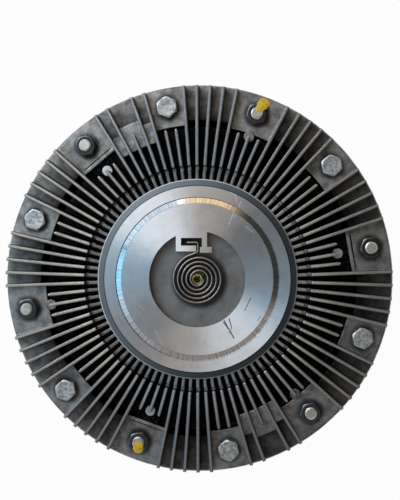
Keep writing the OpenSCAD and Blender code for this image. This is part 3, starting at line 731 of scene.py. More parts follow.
@dataclass(frozen=True)
class CoverFinish(CastingSkin):
    """The front cover: cast fins and pads, and the turned boss with its polished ring."""

    # Fin top tones: tan toward the key light, grey on the far side, and a darker, bluish painted reflection
    # on the fins that run up and down.
    fin_tone: Colour = (0.60, 0.54, 0.485)
    far_fin_tone: Colour = (0.58, 0.565, 0.545)
    upright_fin_reflection_tone: Colour = (0.40, 0.42, 0.46)
    ejector_tone: Colour = (0.62, 0.63, 0.64)
    face_tone: Colour = (0.77, 0.80, 0.85)
    floor_tone: Colour = (0.31, 0.31, 0.315)
    rim_tone: Colour = (0.115, 0.137, 0.155)
    # Painted highlight along the lip of the boss.
    lip_highlight_tone: Colour = (0.68, 0.7, 0.72)
    # Painted reflection on part of the polished ring.
    ring_reflection_tone: Colour = (0.17, 0.2, 0.235)
    cut_tone: Colour = (0.03, 0.03, 0.035)
    scuff_tone: Colour = (0.85, 0.86, 0.87)
    boss_r: float = 66.0
    boss_foot_z: float = 100.0
    face_r: float = 61.2
    ring_in: float = 50.0
    ring_out: float = 54.0
    ring_bevel: Point = (1.7, 1.95)
    recess_r: float = 31.7
    recess_lip_z: float = 102.2
    fin_deg: float = 4.0
    fin_edge: Point = (0.9, 0.35)
    fin_z: float = 98.0
    # Painted shade at the edges of the fin tops, which leaves a painted highlight along their middle.
    fin_edge_shade: float = 0.34
    worn_size: float = 2.6
    worn_least: float = 0.6
    crest_gloss: float = 0.12
    crest_smooth: float = 0.6
    stub_z: float = 96.5
    stub_r: float = 73.5
    # The stubs by the boss take less of the worn crest tone, and are painted darker on the side the key
    # light falls on and lighter on the far side.
    stub_dimming: float = 0.45
    stub_highlight: float = 0.25
    stub_shade: float = 0.85
    # Painted glint near the inner ends of the fin tops.
    fin_glint_r: Point = (100.0, 79.0)
    fin_glint_gain: float = 0.5
    pad_z: float = 89.0
    shelf_r: float = 97.0
    rim_r: float = 130.0
    fastener_deg: float = 30.0
    fastener_first_deg: float = 20.0
    fastener_circle_r: float = 116.5
    # Reach of the painted shadow around each fastener.
    fastener_shadow_r: Point = (10.5, 7.2)
    ejector_r: float = 3.5
    ejector_reach: Point = (90.0, 98.6)
    ejector_over: float = 0.5
    # Painted shade on the channel floors, and painted light that lifts it towards the rim and on the lit
    # side.
    channel_shade: float = 0.97
    channel_lit_share: float = 0.75
    # Painted shade on the fin flanks, deepest at their roots.
    flank_shade: float = 0.35
    root_shade: float = 0.4
    # Strength of the painted shadow around each fastener.
    fastener_shadow: float = 0.7
    # Clock angle of the side that the key light falls on, for the painted light and shade.
    lit_deg: float = 300.0
    # Painted shade on one side of the turned face: where it falls and how dark.
    shaded_deg: float = 72.0
    painted_dark: float = 0.26
    smear: float = 0.12
    smear_size: float = 9.0
    smear_rough: float = 0.06
    # Where the painted reflection on the ring lies.
    ring_reflection_spot: Point = (-32.7, 40.4)
    ring_reflection_r: Point = (33.0, 19.0)
    tick_size: float = 1.6
    tick_gain: float = 0.35
    # Painted shadow under the coil and painted shade in the anchor's window.
    coil_shadow_centre: tuple[float, float, float] = (1.2, -1.2, 0.0)
    coil_shadow_r: Point = (20.5, 16.5)
    window: tuple[float, float, float, float] = (-11.6, 4.2, 20.0, 27.8)
    window_z: Point = (101.8, 101.2)
    hidden_shade: float = 0.75
    recess_speck_size: float = 1.1
    recess_speck: float = 0.35
    recess_smear: float = 0.25
    edge_round: float = 0.95
    grain_depth: float = 0.1
    polish_rough: float = 0.1
    ring_edge_rough: float = 0.3
    # How much darker the edges of the polished ring are.
    ring_edge_dark: float = 0.6
    ring_tool_size: float = 0.5
    ring_tool_slope: float = 0.03
    rim_rough: float = 0.44
    rim_film: float = 0.5
    # Painted light and shade on the rim band, by the side the key light falls on.
    rim_far_side_shade: float = 0.45
    rim_lit_gain: float = 0.65
    turned_rough: float = 0.4
    turned_stretch: float = 0.92
    turned_quarter: float = 0.25
    swirl_size: float = 1.4
    swirl_slope: float = 0.05
    cut_rough: float = 0.2
    scuff_rough: float = 0.4
    scuff_film: float = 0.7
    scratches: tuple[Scratch, ...] = (
        Scratch((17.6, -27.0), (24.2, -38.9), 0.55, 1.0),
        Scratch((20.9, -25.6), (22.6, -31.9), 0.5, 1.0),
        Scratch((17.0, -28.0), (20.6, -33.0), 0.45, 0.9),
        Scratch((22.6, -31.9), (20.8, -35.5), 0.4, 0.7),
        Scratch((35.3, -12.2), (31.1, -20.9), 0.4, 0.9),
        Scratch((41.4, -24.2), (39.6, -27.6), 0.36, 0.6),
        Scratch((-40.2, -17.9), (-33.6, -23.4), 0.34, 0.3),
    )
    scuffs: tuple[Scratch, ...] = (
        Scratch((24.6, 44.4), (20.8, 35.6), 0.5, 0.8),
        Scratch((29.0, 51.0), (24.4, 39.8), 0.45, 0.7),
        Scratch((21.0, 57.2), (27.6, 55.0), 0.5, 0.7),
        Scratch((24.8, 56.4), (26.6, 49.6), 0.45, 0.7),
        Scratch((31.8, 34.6), (37.4, 30.2), 0.5, 0.5),
        Scratch((-28.0, -33.0), (-23.0, -44.0), 0.4, 0.5),
    )

    def zones(self, spot: Spot) -> CoverZones:
        """Finds the zones of the cover.

        Args:
            spot: Place on the part.

        Returns:
            The zones.
        """
        floor = spot.radius.rise(self.recess_r + 0.1, self.recess_r)
        floor = floor * spot.z.rise(self.recess_lip_z + 0.3, self.recess_lip_z)
        boss = spot.radius.rise(self.boss_r + 0.15, self.boss_r - 0.05) * (1 - floor)
        boss = boss * spot.z.rise(self.boss_foot_z - 0.2, self.boss_foot_z + 0.2)
        ring = spot.radius.band(self.ring_in, self.ring_out, 0.08) * boss
        from_middle = abs(spot.radius - (self.ring_in + self.ring_out) / 2)
        rim = spot.radius.rise(self.face_r - 0.05, self.face_r + 0.1) * boss
        top = spot.z.rise(self.stub_z - 1.6, self.stub_z - 0.2) * (1 - boss) * (1 - floor)
        stub = spot.radius.rise(self.stub_r + 1.5, self.stub_r)
        return CoverZones(
            boss=boss,
            floor=floor,
            ring=ring,
            ring_edge=from_middle.rise(*self.ring_bevel) * ring,
            rim=rim,
            face=boss * (1 - ring) * (1 - rim),
            # The stubs by the boss take less of the worn crest tone.
            crest=top * spot.up.rise(0.15, 0.6) * (1 - self.stub_dimming * stub),
            stub=stub,
            outside=spot.radius.rise(self.rim_r - 1.2, self.rim_r - 0.4),
            # Side that the key light falls on, by which light and shade are painted.
            lit=spot.toward(self.lit_deg).rise(-0.6, 0.5),
        )

    def paint_shade(self, bench: Bench, spot: Spot, zones: CoverZones, tone: Wire) -> Wire:
        """Paints shade into the cast skin: darker in the channels, on the fin flanks and around the
        fasteners, lighter towards the rim and on the side the key light falls on.

        Args:
            bench: The material's node tree.
            spot: Place on the part.
            zones: Zones of the cover.
            tone: Colour of the clean skin.

        Returns:
            The colour with its painted shade, and the worn, lighter ejector bosses.
        """
        # Painted shade on the channel floors, lighter towards the rim and on the side the key light falls
        # on.
        trough = spot.z.rise(self.pad_z - 0.3, self.pad_z - 0.6) * (1 - zones.outside)
        channel_lit = spot.radius.rise(self.shelf_r, self.rim_r + 2) * (0.5 + 0.5 * zones.lit)
        tone = bench.shade(tone, 1 - trough * (self.channel_shade - self.channel_lit_share * channel_lit))
        level = spot.up.rise(0.55, 0.85)
        # Painted shade on the fin flanks, deepest at their roots.
        flank = (1 - level) * (1 - zones.outside) * spot.radius.rise(self.boss_r, self.boss_r + 1)
        root = spot.z.rise(self.fin_z - 0.5, self.pad_z)
        tone = bench.shade(tone, 1 - flank * (self.flank_shade + self.root_shade * root))
        # Painted shadow in a ring around each fastener on the flat faces.
        aside = spot.beside(self.fastener_first_deg, self.fastener_deg) * self.fastener_circle_r
        along = spot.radius - self.fastener_circle_r
        around = ((aside * aside + along * along) ** 0.5).rise(*self.fastener_shadow_r)
        tone = bench.shade(tone, 1 - self.fastener_shadow * around * level)
        ejector = abs(aside).rise(self.ejector_r + 0.3, self.ejector_r)
        ejector = ejector * spot.radius.band(*self.ejector_reach, 0.3)
        ejector = ejector * abs(spot.z - (self.pad_z + self.ejector_over)).rise(0.25, 0.15)
        return bench.tint(ejector, tone, self.ejector_tone)

    def worn_fins_with_painted_light(self, bench: Bench, spot: Spot, zones: CoverZones) -> Wire:
        """Builds the tone of the worn fin tops, with painted light: a painted highlight along their middle
        and near their inner ends, tan toward the key light, and painted reflection that darkens the fins
        that run up and down.

        Args:
            bench: The material's node tree.
            spot: Place on the part.
            zones: Zones of the cover.

        Returns:
            The colour.
        """
        # Painted tint by the side the key light falls on, and a painted reflection on the upright fins.
        tone = bench.tint(zones.lit, self.far_fin_tone, self.fin_tone)
        sideways = (abs(spot.x) / spot.radius).rise(0.35, 0.85)
        tone = bench.tint(sideways, self.upright_fin_reflection_tone, tone)
        # Painted highlight along the middle of each fin top, shade at its edges.
        core = abs(spot.beside(0, self.fin_deg) * spot.radius).rise(*self.fin_edge)
        # Painted glint near the inner ends of the fins, weaker at the top.
        inner = spot.radius.rise(*self.fin_glint_r) * spot.radius.rise(self.stub_r + 1.5, self.stub_r + 2.5)
        inner = inner * spot.toward(0).rise(0.8, 0.3)
        edge = self.fin_edge_shade + (1 - self.fin_edge_shade) * core
        tone = bench.shade(tone, edge * (1 + self.fin_glint_gain * inner))
        # Painted light and shade on the stubs: lighter on the far side, darker toward the key light.
        return bench.shade(tone, 1 + zones.stub * (self.stub_highlight - self.stub_shade * zones.lit))

    def bright(self, bench: Bench, spot: Spot, zones: CoverZones, smears: Wire, cut: Wire) -> Wire:
        """Builds the tone of the turned face, its rim and its polished ring, with painted light: painted
        shade on one side of the face, the rim lighter toward the key light with a painted highlight on its
        lip, and a patch of painted reflection on the ring.

        Args:
            bench: The material's node tree.
            spot: Place on the part.
            zones: Zones of the cover.
            smears: Noise of the smears.
            cut: Mask of the scratches.

        Returns:
            The colour.
        """
        # Painted shade on one side of the turned face.
        shaded_side = spot.toward(self.shaded_deg).rise(0.7, 0.99)
        tone = bench.shade(self.face_tone, 1 - self.smear * smears.rise(0.4, 0.75) - self.painted_dark * shaded_side)
        tone = bench.tint(cut * zones.face, tone, self.cut_tone)
        groove = spot.radius.band(self.face_r + 0.1, self.face_r + 0.7, 0.15)
        # Painted highlight on the lip, then painted light and shade on the rim band.
        lip = spot.radius.rise(self.boss_r - 0.75, self.boss_r - 0.5)
        rim_tone = bench.tint(lip, bench.tint(groove, self.rim_tone, self.cut_tone), self.lip_highlight_tone)
        rim_tone = bench.shade(rim_tone, self.rim_far_side_shade + self.rim_lit_gain * zones.lit)
        tone = bench.tint(zones.rim, tone, rim_tone)
        # A patch of painted reflection on the polished ring.
        painted_reflection = bench.distance(spot, (*self.ring_reflection_spot, 0)).rise(*self.ring_reflection_r)
        tone = bench.tint(zones.ring * painted_reflection, tone, self.ring_reflection_tone)
        ticks = bench.ripple(spot.x.angle(spot.y) * self.ring_in, self.tick_size, 2.0).rise(0.3, 0.7) - 0.5
        edge = 1 - self.ring_edge_dark * zones.ring_edge
        return bench.shade(tone, edge + self.tick_gain * zones.ring * ticks)

    def recess(self, bench: Bench, spot: Spot, smears: Wire) -> Wire:
        """Builds the tone of the recess, with a painted shadow under the coil and painted shade in the
        anchor's window.

        Args:
            bench: The material's node tree.
            spot: Place on the part.
            smears: Noise of the smears.

        Returns:
            The colour.
        """
        specks = bench.noise(spot.vector, self.recess_speck_size, 2.0).rise(0.66, 0.72)
        tone = bench.shade(self.floor_tone, 1 - self.recess_speck * specks)
        tone = bench.shade(tone, 1 - self.recess_smear * smears.rise(0.35, 0.7))
        # Painted shadow under the coil, offset to one side, and painted shade in the anchor's window.
        under_coil = bench.distance(spot, self.coil_shadow_centre).rise(*self.coil_shadow_r)
        left, right, bottom, top = self.window
        window = spot.x.band(left, right, 0.2) * spot.y.band(bottom, top, 0.2) * spot.z.rise(*self.window_z)
        return bench.shade(tone, 1 - self.hidden_shade * under_coil.either(window))

    def cast_normal(self, bench: Bench, spot: Spot, zones: CoverZones, grain: Wire) -> Wire:
        """Builds the normal: rounded fins, cast grain and the tool marks of the ring and rim.

        Args:
            bench: The material's node tree.
            spot: Place on the part.
            zones: Zones of the cover.
            grain: Height of the cast grain.

        Returns:
            The normal.
        """
        rounded = bench.node("ShaderNodeBevel", {"samples": 6}, {"Radius": self.edge_round * MM})
        fins = spot.radius.rise(self.boss_r + 0.1, self.boss_r + 0.4)
        normal = bench.blend_vectors(fins, bench.surface_normal(), rounded)
        slope = (bench.ripple(spot.radius, self.ring_tool_size) - 0.5) * self.ring_tool_slope
        slope = slope * (zones.ring + zones.rim)
        height = grain * ((1 - zones.boss) * (1 - self.crest_smooth * zones.crest))
        return bench.bump(height, self.grain_depth, bench.turned_normal(spot, slope, normal))

    def coat(self, bench: Bench) -> Wire:
        """Builds the shader.

        Args:
            bench: The material's node tree.

        Returns:
            The shader.
        """
        spot = bench.spot()
        zones = self.zones(spot)
        skin_tone, skin_rough, grain = self.skin(bench, spot)
        worn = bench.noise(spot.vector, self.worn_size, 2.0).rise(0.2, 0.6)
        worn = zones.crest * (self.worn_least + (1 - self.worn_least) * worn)
        smears = bench.noise(spot.vector, self.smear_size, 3.0)
        cut = Scratch.join(self.scratches, bench, spot)
        scuff = Scratch.join(self.scuffs, bench, spot)
        tone = self.paint_shade(bench, spot, zones, skin_tone)
        tone = bench.tint(worn, tone, self.worn_fins_with_painted_light(bench, spot, zones))
        tone = bench.tint(zones.floor, tone, self.recess(bench, spot, smears))
        bright_tone = self.bright(bench, spot, zones, smears, cut)
        bright_rough = zones.ring * (self.polish_rough + self.ring_edge_rough * zones.ring_edge)
        bright_rough = bright_rough + (zones.rim + zones.face) * self.rim_rough
        cast = bench.metal(
            Base_Color=bench.tint(zones.boss, tone, bright_tone),
            Metallic=1 - self.rim_film * zones.rim,
            Roughness=bright_rough + (1 - zones.boss) * (skin_rough - self.crest_gloss * zones.crest),
            Normal=self.cast_normal(bench, spot, zones, grain),
        )
        swirl = (bench.ripple(spot.radius, self.swirl_size) - 0.5) * self.swirl_slope
        turned_rough = self.turned_rough + self.smear_rough * (smears - 0.5)
        turned = bench.metal(
            Base_Color=bench.tint(scuff, bright_tone, self.scuff_tone),
            Metallic=1 - self.scuff_film * scuff,
            Roughness=turned_rough + self.cut_rough * cut + self.scuff_rough * scuff,
            Anisotropic=self.turned_stretch,
            Anisotropic_Rotation=self.turned_quarter,
            Normal=bench.turned_normal(spot, swirl, bench.surface_normal()),
        )
        return bench.node("ShaderNodeMixShader", {}, {0: zones.face, 1: cast, 2: turned})


@dataclass(frozen=True)
class MarkerPaint(Finish):
    """Yellow marker paint, thick and glossy, thin at its edge."""

    colour: Colour = (0.83, 0.52, 0.015)
    deep_share: float = 0.72
    streak_size: float = 1.5
    streak_rough: float = 0.15
    roughness: float = 0.34
    grain_size: float = 0.8
    grain_depth: float = 0.12

    def coat(self, bench: Bench) -> Wire:
        """Builds the shader.

        Args:
            bench: The material's node tree.

        Returns:
            The shader.
        """
        spot = bench.spot()
        streaks = bench.noise(spot.vector, self.streak_size, 3.0).rise(0.35, 0.75)
        deep = tuple(value * self.deep_share for value in self.colour)
        grain = bench.noise(spot.vector, self.grain_size, 2.0)
        return bench.metal(
            Base_Color=bench.tint(streaks, self.colour, deep),
            Roughness=self.roughness + self.streak_rough * streaks,
            Normal=bench.bump(grain, self.grain_depth),
        )


class Skin:
    """A mesh in the making, sewn from rings of points in millimetres."""

    def __init__(self) -> None:
        """Starts with nothing."""
        self.points: list[Vector] = []
        self.faces: list[tuple[int, ...]] = []

    def sew(self, rows: Sequence[Row], place: Matrix | None = None, closed: bool = False) -> None:
        """Adds a surface through rings of equal length.

        Args:
            rows: The rings, in order.
            place: Where they go.
            closed: Whether the last ring joins the first; otherwise both ends get a cap.
        """
        first, count = len(self.points), len(rows[0])
        for row in rows:
            self.points += [place @ point if place else point for point in row]
        pairs = len(rows) if closed else len(rows) - 1
        for i in range(pairs):
            here, there = first + i * count, first + (i + 1) % len(rows) * count
            for j in range(count):
                k = (j + 1) % count
                self.faces.append((here + j, here + k, there + k, there + j))
        if not closed:
            last = first + (len(rows) - 1) * count
            self.faces.append(tuple(range(first + count - 1, first - 1, -1)))
            self.faces.append(tuple(range(last, last + count)))

    def make(self, name: str, finish: Finish, sharp_deg: float = 32) -> bpy.types.Object:
        """Makes the object.

        Args:
            name: Its name.
            finish: Its finish.
            sharp_deg: Edges that turn more than this stay sharp.

        Returns:
            The object, in the scene.
        """
        mesh = bpy.data.meshes.new(name)
        mesh.from_pydata([point * MM for point in self.points], [], self.faces)
        mesh.validate()
        mesh.shade_smooth()
        mesh.set_sharp_from_angle(angle=math.radians(sharp_deg))
        thing = bpy.data.objects.new(name, mesh)
        bpy.context.scene.collection.objects.link(thing)
        finish.dress(thing)
        return thing


def ring(radius: Callable[[float], float], height: Callable[[float], float], steps: int) -> Row:
    """Gives a ring of points around the axis.

    Args:
        radius: Radius at an angle.
        height: Height at an angle.
        steps: Number of points.

    Returns:
        The points.
    """
    angles = (FULL_TURN * i / steps for i in range(steps))
    return [Vector((radius(a) * math.cos(a), radius(a) * math.sin(a), height(a))) for a in angles]


def hoop(radius: float, height: float, steps: int) -> Row:
    """Gives a plain circle of points."""
    return ring(lambda _: radius, lambda _: height, steps)


@dataclass(frozen=True)
class HexForm:
    """The hexagon of a bolt head or nut, with its corners turned off."""

    across_flats: float = 13.0
    corner_cut: float = 0.25
    chamfer_deg: float = 27.0
    chamfer_inset: float = 0.35
    steps: int = 72

    @property
    def face_r(self) -> float:
        """Radius of the round end face."""
        return self.across_flats / 2 - self.chamfer_inset

    def radius(self, angle: float) -> float:
        """Gives the distance from the axis to the side.

        Args:
            angle: Angle in radians.

        Returns:
            The distance.
        """
        sixth = FULL_TURN / 6
        corner = self.across_flats / math.sqrt(3) - self.corner_cut
        return min(corner, self.across_flats / 2 / math.cos((angle + sixth / 2) % sixth - sixth / 2))

    def drop(self, angle: float) -> float:
        """Gives how far the turned corner lies below the end face.

        Args:
            angle: Angle in radians.

        Returns:
            The drop.
        """
        return (self.radius(angle) - self.face_r) * math.tan(math.radians(self.chamfer_deg))

    def side(self, low: float, high: float) -> list[Row]:
        """Gives the rings of the six flats between two heights with turned upper corners.

        Args:
            low: Height of the lower edge.
            high: Height of the end face.

        Returns:
            The rings, from below.
        """
        return [
            ring(self.radius, lambda _: low, self.steps),
            ring(self.radius, lambda a: high - self.drop(a), self.steps),
        ]


@dataclass
class Fasteners:
    """The bolts, studs and nuts around the rim."""

    stud_deg: float = 20.0
    bolt_deg: float = 50.0
    count: int = 6
    hexagon: HexForm = field(default_factory=HexForm)
    thread_r: float = 4.0
    thread_depth: float = 0.72
    thread_pitch: float = 1.25
    thread_root_share: float = 0.12
    thread_crest_share: float = 0.06
    thread_run_out: float = 0.9
    thread_hidden: float = 1.2
    point_inset: float = 0.15
    shank_r: float = 3.6
    shank_chamfer: float = 0.6
    bore_gap: float = 0.03
    bore_chamfer: float = 0.6
    washer_r: float = 6.15
    washer_h: float = 0.35
    face_edge: float = 0.3
    dish_r: float = 4.6
    dish_depth: float = 0.07
    dish_lip: float = 0.4
    dish_lip_depth: float = 0.04
    dish_run: float = 0.5
    fan_seat_z: float = 58.0
    thread_steps: int = 36
    circle_r: float = field(init=False)
    pad_z: float = field(init=False)

    def __post_init__(self) -> None:
        """Takes the bolt circle and the pads from the frame."""
        mounts = {mount["name"]: mount for mount in frame["record"]["mounts"]}
        self.circle_r = mounts["fan_studs"]["dims"]["pcd_mm"] / 2
        self.pad_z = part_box("stud_nuts")[0].z / MM

    def places(self, first_deg: float) -> Iterable[Matrix]:
        """Gives the places of one kind of fastener.

        Args:
            first_deg: Clock angle of the first.

        Returns:
            Their matrices, each with +Y pointing outward.
        """
        for i in range(self.count):
            deg = first_deg + i * 360 / self.count
            turn = Matrix.Rotation(math.radians(-deg), 4, "Z")
            yield turn @ Matrix.Translation((0, self.circle_r, 0))

    def bolt_rows(self) -> list[Row]:
        """Gives the rings of one hex bolt with a dished head."""
        low, top = (corner.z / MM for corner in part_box("cover_bolts"))
        steps = self.hexagon.steps
        face_r = self.hexagon.face_r
        profile = (
            (self.shank_r - self.shank_chamfer, low),
            (self.shank_r, low + self.shank_chamfer),
            (self.shank_r, self.pad_z),
            (self.washer_r, self.pad_z),
            (self.washer_r, self.pad_z + self.washer_h),
        )
        crown = (
            (face_r, top),
            (face_r - self.face_edge, top),
            (self.dish_r + self.dish_lip, top - self.dish_lip_depth),
            (self.dish_r, top - self.dish_depth / 2),
            (self.dish_r - self.dish_run, top - self.dish_depth),
        )
        rows = [hoop(r, z, steps) for r, z in profile]
        rows += self.hexagon.side(self.pad_z + self.washer_h, top)
        return rows + [hoop(r, z, steps) for r, z in crown]

    def nut_rows(self) -> list[Row]:
        """Gives the rings of one hex nut, around and through its bore."""
        low, top = (corner.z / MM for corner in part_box("stud_nuts"))
        steps = self.hexagon.steps
        face_r = self.hexagon.face_r
        bore_r = self.thread_r + self.bore_gap
        mouth_r = bore_r + self.bore_chamfer
        foot = [hoop(mouth_r, low, steps), hoop(face_r, low, steps)]
        foot.append(ring(self.hexagon.radius, lambda a: low + self.hexagon.drop(a), steps))
        rim = [hoop(r, top, steps) for r in (face_r, face_r - self.face_edge, mouth_r)]
        bore = [hoop(bore_r, top - self.bore_chamfer, steps), hoop(bore_r, low + self.bore_chamfer, steps)]
        return foot + self.hexagon.side(low, top)[1:] + rim + bore

    def thread_rows(self, low: float, high: float, chamfer_low: bool) -> list[Row]:
        """Gives the rings of a threaded stretch whose grooves run out at both ends.

        Args:
            low: Its lower end.
            high: Its upper end.
            chamfer_low: Whether the free end is the lower one.

        Returns:
            The rings, each one step along the helix.
        """
        crest, root = self.thread_r, self.thread_r - self.thread_depth
        rise, fall = 0.5 - self.thread_crest_share, 0.5 + self.thread_crest_share
        root_end, root_start = self.thread_root_share, 1 - self.thread_root_share
        profile = ((0.0, root), (root_end, root), (rise, crest), (fall, crest), (root_start, root))
        free, held = (low, high) if chamfer_low else (high, low)

        def point(turns: float, depth_r: float, angle: float) -> Vector:
            """Gives one point of the thread, kept between its ends."""
            z = min(max(low + (turns + angle / FULL_TURN) * self.thread_pitch, low), high)
            r = min(depth_r, root - self.point_inset + abs(z - free))
            r = max(r, crest - self.thread_run_out * abs(z - held))
            return Vector((r * math.cos(angle), r * math.sin(angle), z))

        rows = []
        for turn in range(-1, math.ceil((high - low) / self.thread_pitch) + 1):
            for share, depth_r in profile:
                angles = (FULL_TURN * i / self.thread_steps for i in range(self.thread_steps))
                rows.append([point(turn + share, depth_r, a) for a in angles])
        return rows

    def stud_rows(self) -> list[Row]:
        """Gives the rings of one stud, threaded where it shows."""
        low, high = (corner.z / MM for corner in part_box("fan_studs"))
        nut_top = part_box("stud_nuts")[1].z / MM
        fan_end = self.thread_rows(low, self.fan_seat_z, chamfer_low=True)
        return fan_end + self.thread_rows(nut_top - self.thread_hidden, high, chamfer_low=False)

    def piece(
        self,
        name: str,
        node: str,
        rows: list[Row],
        first_deg: float,
        finish: Finish,
    ) -> bpy.types.Object:
        """Makes one kind of fastener in place of its CAD node.

        Args:
            name: Name of the piece.
            node: The node that it stands for.
            rows: The rings of one fastener.
            first_deg: Clock angle of the first.
            finish: Its finish.

        Returns:
            The piece.
        """
        skin = Skin()
        for place in self.places(first_deg):
            skin.sew(rows, place, closed=node == "stud_nuts")
        thing = skin.make(name, finish)
        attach(thing, Body.HOUSING.value)
        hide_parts(node)
        return thing

    def build(self) -> None:
        """Makes the bolts, studs and nuts."""
        bolt_zinc = WorkedMetal(
            "bolt_plating",
            colour=(0.66, 0.68, 0.69),
            roughness=0.4,
            metallic=0.8,
            mottle=0.6,
            mottle_size=1.9,
            grain_depth=0.03,
        )
        stud_zinc = WorkedMetal(
            "stud_zinc",
            colour=(0.74, 0.73, 0.68),
            roughness=0.34,
            metallic=0.9,
            mottle=0.3,
            mottle_size=1.8,
            grain_size=0.35,
            grain_depth=0.03,
        )
        nut_black = WorkedMetal(
            "blackened_steel",
            colour=(0.12, 0.125, 0.135),
            roughness=0.2,
            mottle=0.3,
            mottle_size=2.0,
            grain_size=0.4,
        )
        bolts = self.piece("hex_bolts", "cover_bolts", self.bolt_rows(), self.bolt_deg, bolt_zinc)
        studs = self.piece("threaded_studs", "fan_studs", self.stud_rows(), self.stud_deg, stud_zinc)
        nuts = self.piece("hex_nuts", "stud_nuts", self.nut_rows(), self.stud_deg, nut_black)
        for thing, slot in ((bolts, "bright_zinc"), (studs, "bright_zinc"), (nuts, "dark_steel")):
            LOG.info("made %s", thing.name)


@dataclass
class Coil:
    """The bimetal strip: a two-centre spiral from the valve shaft to the anchor."""

    strip_t: float = 1.0
    edge_round: float = 0.22
    inner_r: float = 4.3
    step: float = 1.4
    halves: int = 9
    hook_x: float = 1.75
    tail: Point = (0.7, 17.9)
    tail_top_y: float = 24.1
    tab_len: float = 7.5
    bend_r: float = 1.3
    bend_steps: int = 6
    spacing: float = 0.45
    least_steps: int = 8
    sharp_deg: float = 40.0
    anchor_point: tuple[float, float, float] = (0, 0.018, 0.099)
    shaft_point: tuple[float, float, float] = (0, 0.002, 0.099)

    def arc(self, centre_x: float, radius: float, from_deg: float, to_deg: float) -> list[Vector]:
        """Gives points along an arc.

        Args:
            centre_x: Its centre on the X axis.
            radius: Its radius.
            from_deg: Start angle from +X.
            to_deg: End angle.

        Returns:
            The points, with both ends.
        """
        length = abs(math.radians(to_deg - from_deg)) * radius
        count = max(self.least_steps, round(length / self.spacing))
        angles = (math.radians(from_deg + (to_deg - from_deg) * i / count) for i in range(count + 1))
        return [Vector((centre_x + radius * math.cos(a), radius * math.sin(a), 0)) for a in angles]

    def bend(self, before: Vector, corner: Vector, after: Vector) -> list[Vector]:
        """Gives the rounded corner between two straight runs.

        Args:
            before: A point on the first run.
            corner: The corner.
            after: A point on the second run.

        Returns:
            The points of the bend.
        """
        start = corner + (before - corner).normalized() * self.bend_r
        end = corner + (after - corner).normalized() * self.bend_r
        shares = (i / self.bend_steps for i in range(self.bend_steps + 1))
        return [start.lerp(corner, t).lerp(corner.lerp(end, t), t) for t in shares]

    def path(self) -> list[Vector]:
        """Gives the middle line of the strip from its hook to its tab."""
        first = Vector((self.inner_r, 0, 0))
        hook = Vector((self.hook_x, 0, 0))
        points = [hook, *self.bend(hook, first, first + Vector((0, -1, 0)))]
        lead_deg = math.degrees(self.bend_r / self.inner_r)
        for k in range(self.halves):
            radius = self.inner_r + k * self.step
            if k % 2 == 0:
                points += self.arc(0, radius, -lead_deg if k == 0 else 0, -180)[1:]
            else:
                points += self.arc(self.step, radius, 180, 0)[1:]
        radius = self.inner_r + self.halves * self.step
        run = Vector((*self.tail, 0)) - Vector((self.step, 0, 0))
        leave_deg = math.degrees(math.atan2(run.y, run.x) + math.acos(radius / run.length))
        points += self.arc(self.step, radius, 180, leave_deg)[1:]
        tail = Vector((*self.tail, 0))
        knee = Vector((self.tail[0], self.tail_top_y, 0))
        end = knee + Vector((-self.tab_len, 0, 0))
        points += self.bend(points[-1], tail, knee) + self.bend(tail, knee, end)
        return [*points, end]

    def section(self, height: float) -> list[Point]:
        """Gives the rounded section of the strip, across and along the axis.

        Args:
            height: Width of the strip along the axis.

        Returns:
            The outline.
        """
        outline = []
        c = self.edge_round
        corners = ((1, 0, 0), (1, 1, 90), (-1, 1, 180), (-1, 0, 270))
        for side, upper, turn in corners:
            for extra in (0, 45, 90):
                angle = math.radians(turn + extra - 90)
                x = side * (self.strip_t / 2 - c) + c * math.cos(angle)
                z = (height - c if upper else c) + c * math.sin(angle)
                outline.append((x, z))
        return outline

    def build(self) -> None:
        """Makes the strip."""
        low, high = (corner.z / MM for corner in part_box("bimetal_coil"))
        path = self.path()
        outline = self.section(high - low)
        rows, reach = [], [0.0]
        for i, point in enumerate(path):
            ahead = path[min(i + 1, len(path) - 1)] - path[max(i - 1, 0)]
            side = Vector((ahead.y, -ahead.x, 0)).normalized()
            rows.append([point + side * x + Vector((0, 0, low + z)) for x, z in outline])
            if i:
                reach.append(reach[-1] + (point - path[i - 1]).length)
        skin = Skin()
        skin.sew(rows)
        finish = WorkedMetal(
            "strip_metal",
            colour=(0.44, 0.42, 0.385),
            roughness=0.3,
            mottle=0.3,
            mottle_size=3.0,
            grain_size=0.3,
            grain_depth=0.015,
        )
        strip = skin.make("coil_strip", finish, self.sharp_deg)
        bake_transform(strip)
        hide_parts("bimetal_coil")
        LOG.info("made %s", strip.name)


